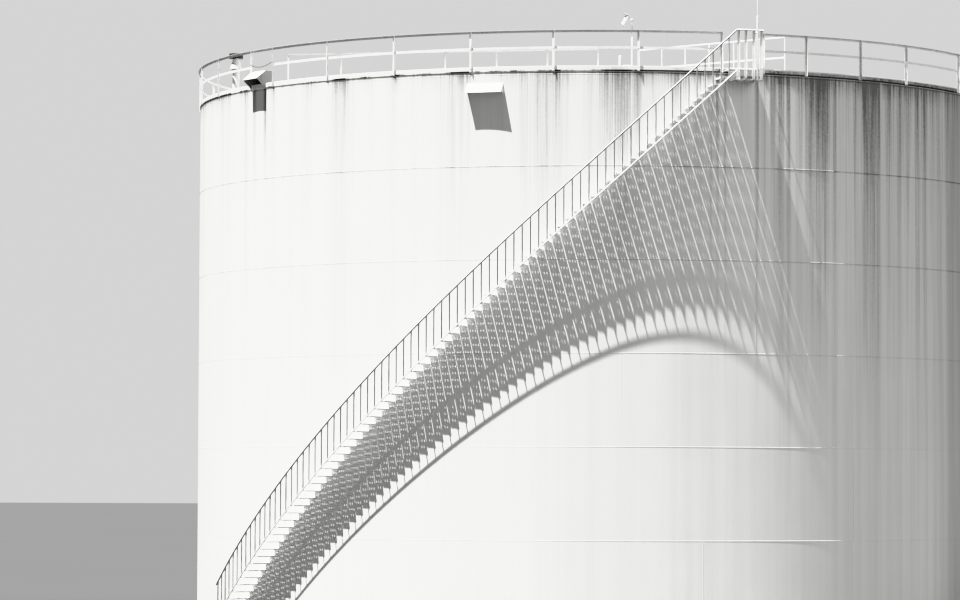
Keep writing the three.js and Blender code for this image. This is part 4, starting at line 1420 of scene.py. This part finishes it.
class TANK_OT_stair(Operator):
    """Slotted treads and the stringer pipe"""

    bl_idname = "tank.build_stair"
    bl_label = "Stair"

    def execute(self, context):
        settings = context.scene.tank_stair
        tread = self.tread(settings).mesh()
        lug = Shape().block((-0.012, -WALL_RADIUS - STRINGER_OFFSET, -0.026),
                            (0.012, -WALL_RADIUS - TREAD_REACH + 0.004, -0.006)).mesh()
        for flight, first, count in flight_runs():
            bar = long_bar(WALL_RADIUS + STRINGER_OFFSET, first, count, -STRINGER_DROP, settings.stringer,
                           "stringer_paint")
            parts = {
                "treads": (repeated(tread, "stair_paint", climb(first, count)), "stair_paint"),
                "tread_lugs": (repeated(lug, "stair_paint", climb(first, count)), "stair_paint"),
                "stringer": (bar, "stringer_paint"),
            }
            for name, (mesh, paint) in parts.items():
                piece(f"{name}_{flight}", mesh, paint, "stair_paint", f"stair_flight_{flight}")
        return {"FINISHED"}

    def tread(self, settings):
        """Folded sheet with rows of slots, its edges turned down all round."""
        sheet = settings.sheet
        middle = (TREAD_FRONT + TREAD_BACK) / 2
        half = settings.slot_length / 2
        inner = -WALL_RADIUS - 0.0015
        outer = -WALL_RADIUS - TREAD_REACH
        rows = ((-0.035, 0.035), (-0.07, 0.0, 0.07))
        us = sorted({TREAD_FRONT, TREAD_BACK} | {
            middle + offset + side * half for row in rows for offset in row for side in (-1, 1)
        })
        vs = [inner]
        for row in range(settings.slot_rows):
            centre = -WALL_RADIUS - 0.04 - row * settings.slot_pitch
            vs += [centre + settings.slot_width / 2, centre - settings.slot_width / 2]
        vs.append(outer)

        def slot(i, j):
            u = (us[i] + us[i + 1]) / 2 - middle
            return j % 2 == 1 and any(abs(u - offset) < half for offset in rows[j // 2 % 2])

        shape = Shape().pierced(us, vs, slot, -sheet, 0)
        lip = -TREAD_HEIGHT
        shape.block((TREAD_FRONT, outer, lip), (TREAD_FRONT + sheet, inner, -sheet))
        shape.block((TREAD_BACK - sheet, outer, lip), (TREAD_BACK, inner, -sheet))
        for near, far in ((outer, outer + 2 * sheet), (inner - 2 * sheet, inner)):
            shape.block((TREAD_FRONT + sheet, near, lip), (TREAD_BACK - sheet, far, -sheet))
        return shape


class TANK_OT_handrail(Operator):
    """Handrail pipe and its balusters"""

    bl_idname = "tank.build_handrail"
    bl_label = "Stair rail"

    def execute(self, context):
        radius = WALL_RADIUS + HANDRAIL_OFFSET
        baluster = self.baluster(radius).mesh()
        for flight, first, count in flight_runs():
            node = f"stair_rail_{flight}"
            piece(f"balusters_{flight}", repeated(baluster, "baluster_paint", climb(first, count)),
                  "baluster_paint", "stair_paint", node)
            bar = long_bar(radius, first, count, HANDRAIL_HEIGHT, context.scene.tank_stair.handrail, "pipe_paint")
            piece(f"handrail_{flight}", bar, "pipe_paint", "stair_paint", node)
        return {"FINISHED"}

    def baluster(self, radius):
        """Angle-section baluster, its back to the wall and its leg at the left."""
        half = BALUSTER / 2
        outline = angle_steel((-half, half - radius), half, -radius - half, 0.005)
        return Shape().prism(outline, 0.0004, HANDRAIL_HEIGHT - 0.006)


class TANK_OT_landing(Operator):
    """Landing at the stair's head, its rail and the mast"""

    bl_idname = "tank.build_landing"
    bl_label = "Landing"

    def execute(self, context):
        self.add_deck()
        self.add_rail(context.scene.tank_stair.handrail)
        self.add_mast()
        return {"FINISHED"}

    def add_deck(self):
        """Ribbed plate on a frame of webs behind a fascia."""
        outer = WALL_RADIUS + LANDING_REACH
        inner = KERB_RADIUS + 0.002
        back = outer - FASCIA_SHEET
        web = WALL_RADIUS + 0.001
        start = STAIR_HEAD - degrees(-TREAD_FRONT / WALL_RADIUS)
        under = LANDING_LEVEL - DECK_PLATE
        shape = Shape().arc(rectangle(inner, outer, under, LANDING_LEVEL), start, LANDING_END, 24)
        shape.arc(rectangle(back, outer, FASCIA_FOOT + 0.10, under), FRAME_START, LANDING_END, 16)
        shape.arc(rectangle(outer - 0.03, outer, FASCIA_FOOT, FASCIA_FOOT + 0.02), FRAME_START, LANDING_END, 16)
        for angle in FRAME_WEBS:
            shape.arc([(web, FASCIA_FOOT), (back, FASCIA_FOOT), (back, under - 0.001), (inner, under - 0.001),
                       (inner, WALL_TOP), (web, WALL_TOP)], angle, angle + 0.04, 1)
        for radius in spread(inner, outer, 20)[1:-1]:
            rib = rectangle(radius, radius + 0.006, LANDING_LEVEL - 0.001, LANDING_LEVEL + 0.0002)
            shape.arc(rib, start + 0.05, LANDING_END - 0.05, 24)
        piece("landing", shape, "stair_paint", "stair_paint", "stair_landing")

    def add_rail(self, radius):
        """Handrail that turns the corner to an inner post, four posts and a toe bar."""
        face = WALL_RADIUS + LANDING_REACH + 0.0005
        outer = face + BALUSTER
        top = LANDING_LEVEL + HANDRAIL_HEIGHT
        middle = face + BALUSTER / 2
        inboard = WALL_RADIUS + 0.11
        corner = LANDING_END + 0.02
        pipe = grown(helix_pipe, radius=middle, first_turn=STAIR_HEAD - 0.02, last_turn=corner - 0.02,
                     first_lift=top, last_lift=top, steps=24, pipe_radius=radius, sides=PIPE_SIDES,
                     finish=material("pipe_paint"))
        bend = place(corner - 0.1, inboard, top)
        shape = Shape().rod(place(corner - 0.1, middle + 0.01, top), bend, radius)
        shape.rod(place(corner - 0.1, inboard, LANDING_LEVEL + 0.0005), bend, 0.016)
        post = angle_steel((BALUSTER, -face), -BALUSTER, -outer, 0.006)
        for angle in LANDING_POSTS:
            shape.prism(post, FASCIA_FOOT, top, turned(angle))
        toe = angle_steel((outer - 0.003, LANDING_LEVEL), outer + 0.033, LANDING_LEVEL + 0.033, 0.006)
        shape.arc(toe, STAIR_HEAD + 0.02, corner, 16)
        piece("landing_rail_steel", joined([smoothed(pipe, PIPE_SHARP), shape.mesh()]), "stair_paint",
              "stair_paint", "landing_rail")

    def add_mast(self):
        low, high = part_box("landing_mast")
        stand = Matrix.Translation(((low.x + high.x) / 2, (low.y + high.y) / 2, 0))
        shape = Shape().turn([
            (0, FASCIA_FOOT), (0.026, FASCIA_FOOT), (0.027, FASCIA_FOOT + 0.004), (0.027, MAST_STEP - 0.03),
            (0.022, MAST_STEP), (0.013, MAST_STEP + 0.004), (0.013, MAST_TOP - 0.01), (0.009, MAST_TOP),
            (0, MAST_TOP),
        ], 20, stand)
        for z in MAST_COLLARS:
            shape.turn([(0, z), (0.0278, z), (0.0278, z + 0.04), (0, z + 0.04)], 20, stand)
        piece("mast", shape, "zinc", "galvanised_steel", "landing_mast")


class TANK_OT_walkways(Operator):
    """Grated roof walkways and their handrails"""

    bl_idname = "tank.build_walkways"
    bl_label = "Roof walkways"

    def execute(self, context):
        for name, walk in WALKS.items():
            self.add_walkway(context.scene.tank_roof, name, walk)
        return {"FINISHED"}

    def add_walkway(self, settings, name, walk):
        start, end = Vector(walk["start"]), Vector(walk["end"])
        along = end - start
        across = Vector((along.y, -along.x)).normalized()

        def spot(share, aside, lift):
            """Point over the roof at a share of the walkway's length."""
            flat = start + along * share + across * aside
            return Vector((*flat, roof_height(*flat) + lift))

        ease = 0.021 / along.length
        stops = spread(ease, 1 - ease, walk["bays"])
        rods = round(along.length / settings.rod_pitch)
        bars = round(WALK_WIDTH / settings.bar_pitch)
        self.add_deck(name, spot, stops, bars, rods)
        turn = Matrix.Rotation(atan2(along.y, along.x), 4, "Z")
        self.add_handrail(name, spot, stops, turn, walk["mid"])

    def add_deck(self, name, spot, stops, bars, rods):
        """Grating between two edge bars, on bearers of angle steel."""
        middle = WALK_GAP + WALK_WIDTH / 2
        first = spot(0, middle, DECK_LIFT)
        last = spot(1, middle, DECK_LIFT)
        ahead = (last - first).normalized()
        side = Vector((0, 0, 1)).cross(ahead).normalized()
        lie = Matrix((ahead, side, ahead.cross(side))).transposed().to_4x4()
        lie.translation = (first + last) / 2
        mesh = grown(
            grating, length=(last - first).length - 0.02, width=WALK_WIDTH - 0.02, bars=bars, rods=rods,
            bar_thickness=0.005, bar_depth=0.024, rod_thickness=0.008, finish=material("zinc"),
        )
        mesh.transform(lie)
        shape = Shape()
        for aside in (WALK_GAP + 0.006, WALK_GAP + WALK_WIDTH - 0.006):
            shape.beam(spot(0, aside, DECK_LIFT), spot(1, aside, DECK_LIFT),
                       rectangle(-0.004, 0.004, -0.014, 0.014))
        for stop in stops:
            near = spot(stop, WALK_GAP + 0.03, 0)
            far = spot(stop, WALK_GAP + WALK_WIDTH - 0.03, 0)
            level = max(near.z, far.z) + 0.004
            near.z = far.z = level
            tall = min(spot(stop, middle, DECK_LIFT).z - 0.012 - level, 0.06)
            shape.beam(near, far, angle_steel((-0.02, 0), 0.02, tall, 0.005))
        piece(f"{name}_grating", joined([mesh, shape.mesh()]), "zinc", "galvanised_steel", f"{name}_deck")

    def add_handrail(self, name, spot, stops, turn, has_mid_bar):
        top = WALK_RAIL_HEIGHT
        half, leg, post, steel = 0.0215, 0.03, 0.015, 0.005
        rail = Shape().beam(spot(0, 0, top), spot(1, 0, top), angle_steel((-half, half), half, half - leg, steel))
        if has_mid_bar:
            rail.beam(spot(0, 0, top / 2), spot(1, 0, top / 2), rectangle(-0.004, 0.004, -0.019, 0.019))
        for stop in stops:
            rail.prism(angle_steel((-post, -post), post, post, steel), 0.004, top - 0.017,
                       Matrix.Translation(spot(stop, 0, 0)) @ turn)
        piece(f"{name}_handrail", rail, "rail_paint", "rail_paint", f"{name}_rail")


class TANK_OT_hoods(Operator):
    """Sheet hoods over the wall vents and the hatch"""

    bl_idname = "tank.build_hoods"
    bl_label = "Hoods"

    def execute(self, context):
        for i, angle in enumerate(VENT_ANGLES, 1):
            piece(f"vent_cowl_{i}", self.vent_hood(angle), "hood_paint", "shell_paint", f"vent_hood_{i}")
        piece("hatch_cover", self.hatch_cover(), "hood_paint", "shell_paint", "hatch_hood")
        piece("hatch_cheeks", self.hatch_cheeks(), "sooty_paint", "shell_paint", "hatch_hood")
        return {"FINISHED"}

    def add_across(self, shape, profile, left, right, angle):
        """Profile of (distance out from the wall, height), carried sideways."""
        rings = [[(x, -WALL_RADIUS - out, z) for out, z in profile] for x in (left, right)]
        shape.sweep(rings, matrix=turned(angle))

    def add_cheeks(self, shape, profile, half, angle):
        """A sheet at either side."""
        self.add_across(shape, profile, -half, HOOD_SHEET - half, angle)
        self.add_across(shape, profile, half - HOOD_SHEET, half, angle)

    def vent_hood(self, angle):
        """Sloping sheet with its cheeks, and with flanges on the wall inside them."""
        half, flange = VENT_WIDTH / 2, 0.035
        inset = half - 0.012
        front = VENT_REACH - HOOD_SHEET
        under = VENT_TOP - 1.4 * HOOD_SHEET
        shape = Shape()
        self.add_across(shape, [
            (-0.009, VENT_TOP), (0.006, VENT_TOP), (VENT_REACH - 0.004, VENT_LIP + 0.004),
            (VENT_REACH, VENT_LIP), (VENT_REACH, VENT_LIP - 0.008), (front, VENT_LIP - 0.008),
            (front, VENT_LIP - 0.001), (0.004, under), (-0.009, under),
        ], -half, half, angle)
        self.add_cheeks(shape, [(-0.0078, VENT_TOP - 0.009), (0.004, VENT_TOP - 0.009),
                                (front, VENT_LIP - 0.003), (-0.0078, VENT_LIP - 0.003)], half, angle)
        for left in (-inset, inset - flange):
            self.add_across(shape, rectangle(-0.006, 0.004, VENT_LIP, VENT_TOP - 0.012), left, left + flange,
                            angle)
        return shape

    def hatch_cover(self):
        half = HATCH_WIDTH / 2
        front = HATCH_REACH - HOOD_SHEET
        under = HATCH_TOP - 1.3 * HOOD_SHEET
        shape = Shape()
        self.add_across(shape, [
            (HATCH_BACK, HATCH_TOP), (HATCH_FOLD, HATCH_TOP), (HATCH_REACH, HATCH_LIP),
            (HATCH_REACH, HATCH_LIP - 0.02), (front, HATCH_LIP - 0.02), (front, HATCH_LIP - HOOD_SHEET),
            (HATCH_FOLD, under), (HATCH_BACK, under),
        ], -half, half, HATCH_ANGLE)
        return shape

    def hatch_cheeks(self):
        """Cheeks that step over the kerb, with a panel between them at the back."""
        half = HATCH_WIDTH / 2
        head, seat = HATCH_TOP - 0.008, HATCH_FOOT + 0.010
        front = HATCH_REACH - HOOD_SHEET
        kerb_face = KERB_RADIUS - WALL_RADIUS + 0.001
        kerb_head = KERB_TOP + 0.002
        shape = Shape()
        self.add_cheeks(shape, [
            (HATCH_BACK, head), (HATCH_FOLD, head), (front, HATCH_LIP - 0.008), (front, HATCH_LIP - 0.02),
            (0.06, HATCH_FOOT), (kerb_face, HATCH_FOOT), (kerb_face, kerb_head), (-0.03, kerb_head),
            (-0.03, HATCH_FOOT + 0.003), (HATCH_BACK, seat),
        ], half, HATCH_ANGLE)
        self.add_across(shape, [
            (HATCH_BACK, head), (HATCH_BACK + HOOD_SHEET, head), (HATCH_BACK + HOOD_SHEET, seat),
            (HATCH_BACK, seat),
        ], HOOD_SHEET - half, half - HOOD_SHEET, HATCH_ANGLE)
        return shape


class TANK_OT_floodlight(Operator):
    """Floodlight on its pole, with the conduit stub"""

    bl_idname = "tank.build_floodlight"
    bl_label = "Floodlight"

    def execute(self, context):
        self.add_pole()
        self.add_head()
        return {"FINISHED"}

    def add_pole(self):
        roof = roof_height(POLE_RADIUS, 0)
        foot = roof + 0.002
        pole, stub = (Matrix.Translation(place(angle, POLE_RADIUS, 0)) for angle in (POLE_ANGLE, STUB_ANGLE))
        shape = Shape().turn([
            (0, foot), (0.026, foot), (0.026, POLE_STEP - 0.02), (0.02, POLE_STEP), (0.014, POLE_STEP),
            (0.014, POLE_TOP - 0.005), (0.010, POLE_TOP), (0, POLE_TOP),
        ], 20, pole)
        shape.turn([(0, foot), (0.042, foot), (0.042, STUB_TOP - 0.03), (0.034, STUB_TOP), (0, STUB_TOP)],
                   20, stub)
        shape.rod(*(place(angle, POLE_RADIUS, roof + CONDUIT_LIFT) for angle in (STUB_ANGLE, POLE_ANGLE)), 0.016)
        piece("lamp_pole", shape, "zinc", "galvanised_steel", "floodlight_pole")

    def tilted(self, tilt, aside, height):
        centre = place(POLE_ANGLE, POLE_RADIUS, LAMP_FOOT) + Vector((aside, 0, height))
        return Matrix.Translation(centre) @ Matrix.Rotation(radians(tilt), 4, "Y")

    def add_head(self):
        """Tapered housing with fins behind and glass in front, a visor, a yoke and a clamp."""
        body = self.tilted(*LAMP_BODY)
        yoke = self.tilted(*LAMP_YOKE)
        rim = rectangle(-0.148, 0.148, -0.088, 0.088)
        back = rectangle(-0.105, 0.105, -0.062, 0.062)
        levels = ((rim, -0.040), (rim, -0.010), (back, 0.042))
        shape = Shape().sweep([[(x, y, z) for x, y in outline] for outline, z in levels], matrix=body)
        for x in spread(-0.088, 0.088, 8):
            shape.block((x - 0.003, -0.055, 0.035), (x + 0.003, 0.055, 0.062), body)
        shape.block((-0.073, -0.093, -0.011), (0.073, 0.093, 0.011), self.tilted(*LAMP_VISOR))
        shape.block((-0.103, -0.014, -0.004), (0.103, 0.014, 0.004), yoke)
        shape.rod(yoke @ Vector((-0.06, -0.014, 0)), yoke @ Vector((-0.06, 0.014, 0)), 0.012, 12)
        shape.turn([(0, -0.028), (0.030, -0.028), (0.033, -0.024), (0.033, 0.024), (0.026, 0.029), (0, 0.029)],
                   18, self.tilted(*LAMP_CLAMP))
        piece("lamp_housing", shape, "hood_paint", "galvanised_steel", "floodlight_head")
        glass = Shape().block((-0.13, -0.072, -0.048), (0.13, 0.072, -0.040), body)
        piece("lamp_glass", glass, "lamp_glass", "galvanised_steel", "floodlight_head")


class TANK_OT_rim_vent(Operator):
    """Capped breather inside the rim"""

    bl_idname = "tank.build_rim_vent"
    bl_label = "Rim vent"

    def execute(self, context):
        angle, distance = BREATHER
        foot = roof_height(distance, 0) + 0.004
        flange = foot + 0.014
        stand = Matrix.Translation(place(angle, distance, 0))
        neck = Shape().turn([(0, foot), (0.145, foot), (0.145, flange), (0.098, foot + 0.016), *BREATHER_NECK],
                            32, stand)
        piece("vent_neck", neck, "hood_paint", "shell_paint", "rim_vent")
        piece("vent_cap", Shape().turn(BREATHER_CAP, 32, stand), "dark_steel", "shell_paint", "rim_vent")
        bolt = hex_bolt(0.010).mesh(Matrix.Translation((0, -0.122, flange)))
        bolts = repeated(bolt, "dark_steel", (8, 0, 45, 0, 0))
        bolts.transform(stand)
        piece("vent_bolts", bolts, "dark_steel", "shell_paint", "rim_vent")
        return {"FINISHED"}


class TANK_OT_openings(Operator):
    """Manhole and outlet nozzle in the lowest course"""

    bl_idname = "tank.build_openings"
    bl_label = "Wall openings"

    def execute(self, context):
        for name, fitting, node in (("manhole", MANHOLE, "manhole_neck"), ("nozzle", NOZZLE, "outlet_nozzle")):
            piece(f"{name}_flanged_neck", self.neck(fitting), "hood_paint", "shell_paint", node)
            piece(f"{name}_pad", self.pad(fitting), "hood_paint", "shell_paint", node)
            piece(f"{name}_bolts", self.bolts(fitting, fitting is MANHOLE), "dark_steel", "shell_paint", node)
        piece("manhole_blank", self.cover(MANHOLE), "hood_paint", "shell_paint", "manhole_cover")
        return {"FINISHED"}

    def face(self, fitting):
        return outward(fitting["angle"], WALL_RADIUS, fitting["centre"])

    def neck(self, fitting):
        """Neck with its flange, and a weld where it meets the wall."""
        bore, reach, flange = fitting["bore"], fitting["reach"], fitting["flange"]
        back = reach - fitting["plate"]
        pipe = bore + fitting["wall"]
        sagitta = pipe ** 2 / 2 / WALL_RADIUS
        profile = [
            (bore, -sagitta), (bore, reach), (flange - 0.003, reach), (flange, reach - 0.003),
            (flange, back + 0.003), (flange - 0.003, back), (pipe + 0.006, back), (pipe, back - 0.006),
            (pipe, 0.012), (pipe + 0.008, 0.0005), (pipe, -sagitta),
        ]
        rings = [[(r * x, r * y, z) for r, z in profile] for x, y in circle(1, NECK_COLUMNS)]
        return Shape().sweep(rings, closed=True, matrix=self.face(fitting))

    def pad(self, fitting):
        """Round doubling plate that hugs the wall about the neck."""
        hole = fitting["bore"] + fitting["wall"] + 0.002
        pad = fitting["pad"]
        section = ((hole, 0.0005), (hole, 0.010), (pad - 0.003, 0.010), (pad, 0.008), (pad, 0.0005))
        return Shape().sweep([[
            place(fitting["angle"] + degrees(r * x / WALL_RADIUS), WALL_RADIUS + out, fitting["centre"] + r * y)
            for r, out in section
        ] for x, y in circle(1, NECK_COLUMNS)], closed=True)

    def bolts(self, fitting, is_closed):
        """Ring of bolts through the flange; a closed one shows them on both faces."""
        radius = (fitting["flange"] + fitting["bore"] + fitting["wall"]) / 2
        back = Matrix.Translation((radius, 0, fitting["reach"] - fitting["plate"]))
        meshes = [hex_bolt(FLANGE_BOLT).mesh(back @ Matrix.Rotation(pi, 4, "X"))]
        if is_closed:
            front = Matrix.Translation((radius, 0, fitting["reach"] + fitting["plate"]))
            meshes.append(hex_bolt(FLANGE_BOLT, 0.03).mesh(front))
        ring = repeated(joined(meshes), "dark_steel", (fitting["bolts"], 0, 360 / fitting["bolts"], 0, 0))
        ring.transform(self.face(fitting))
        return ring

    def cover(self, fitting):
        """Blank plate with a grip."""
        flange = fitting["flange"]
        near = fitting["reach"] + 0.0005
        far = fitting["reach"] + fitting["plate"]
        face = self.face(fitting)
        shape = Shape().turn([(0, near), (flange - 0.003, near), (flange, near + 0.003), (flange, far - 0.003),
                              (flange - 0.003, far), (0, far)], NECK_COLUMNS, face)
        half, stand, grip = 0.118, 0.068, 0.010
        for x in (-half, half):
            shape.rod(face @ Vector((x, 0, far - 0.004)), face @ Vector((x, 0, far + stand)), grip)
        left, right = (face @ Vector((x, 0, far + stand)) for x in (-half - grip, half + grip))
        return shape.rod(left, right, grip)


class TANK_PT_panel(Panel):
    """Lists the tank's settings and the steps that build it"""

    bl_idname = "TANK_PT_panel"
    bl_label = "Storage tank"
    bl_space_type = "VIEW_3D"
    bl_region_type = "UI"
    bl_category = "Tank"

    def draw(self, context):
        for step in STEPS:
            self.layout.operator(step.bl_idname)
        for name in SETTINGS:
            group = getattr(context.scene, name)
            box = self.layout.box()
            box.label(text=name.replace("_", " ").capitalize())
            for prop in group.bl_rna.properties:
                if prop.identifier not in ("rna_type", "name"):
                    box.prop(group, prop.identifier)


SETTINGS = {
    "tank_shell": ShellSettings, "tank_rim": RimSettings, "tank_stair": StairSettings,
    "tank_roof": RoofSettings, "tank_finish": FinishSettings, "tank_stage": StageSettings,
}
STEPS = (
    TANK_OT_stage, TANK_OT_shell, TANK_OT_kerb, TANK_OT_roof, TANK_OT_rim_rails, TANK_OT_gate_chain,
    TANK_OT_stair, TANK_OT_handrail, TANK_OT_landing, TANK_OT_walkways, TANK_OT_hoods, TANK_OT_floodlight,
    TANK_OT_rim_vent, TANK_OT_openings,
)


def register():
    for group in SETTINGS.values():
        bpy.utils.register_class(group)
    for name, group in SETTINGS.items():
        setattr(bpy.types.Scene, name, PointerProperty(type=group))
    for step in STEPS:
        bpy.utils.register_class(step)
    bpy.utils.register_class(TANK_PT_panel)


def unregister():
    bpy.utils.unregister_class(TANK_PT_panel)
    for step in reversed(STEPS):
        bpy.utils.unregister_class(step)
    for name, group in SETTINGS.items():
        delattr(bpy.types.Scene, name)
        bpy.utils.unregister_class(group)


def main():
    register()
    for step in STEPS:
        group, name = step.bl_idname.split(".")
        getattr(getattr(bpy.ops, group), name)()


if __name__ == "__main__":
    main()
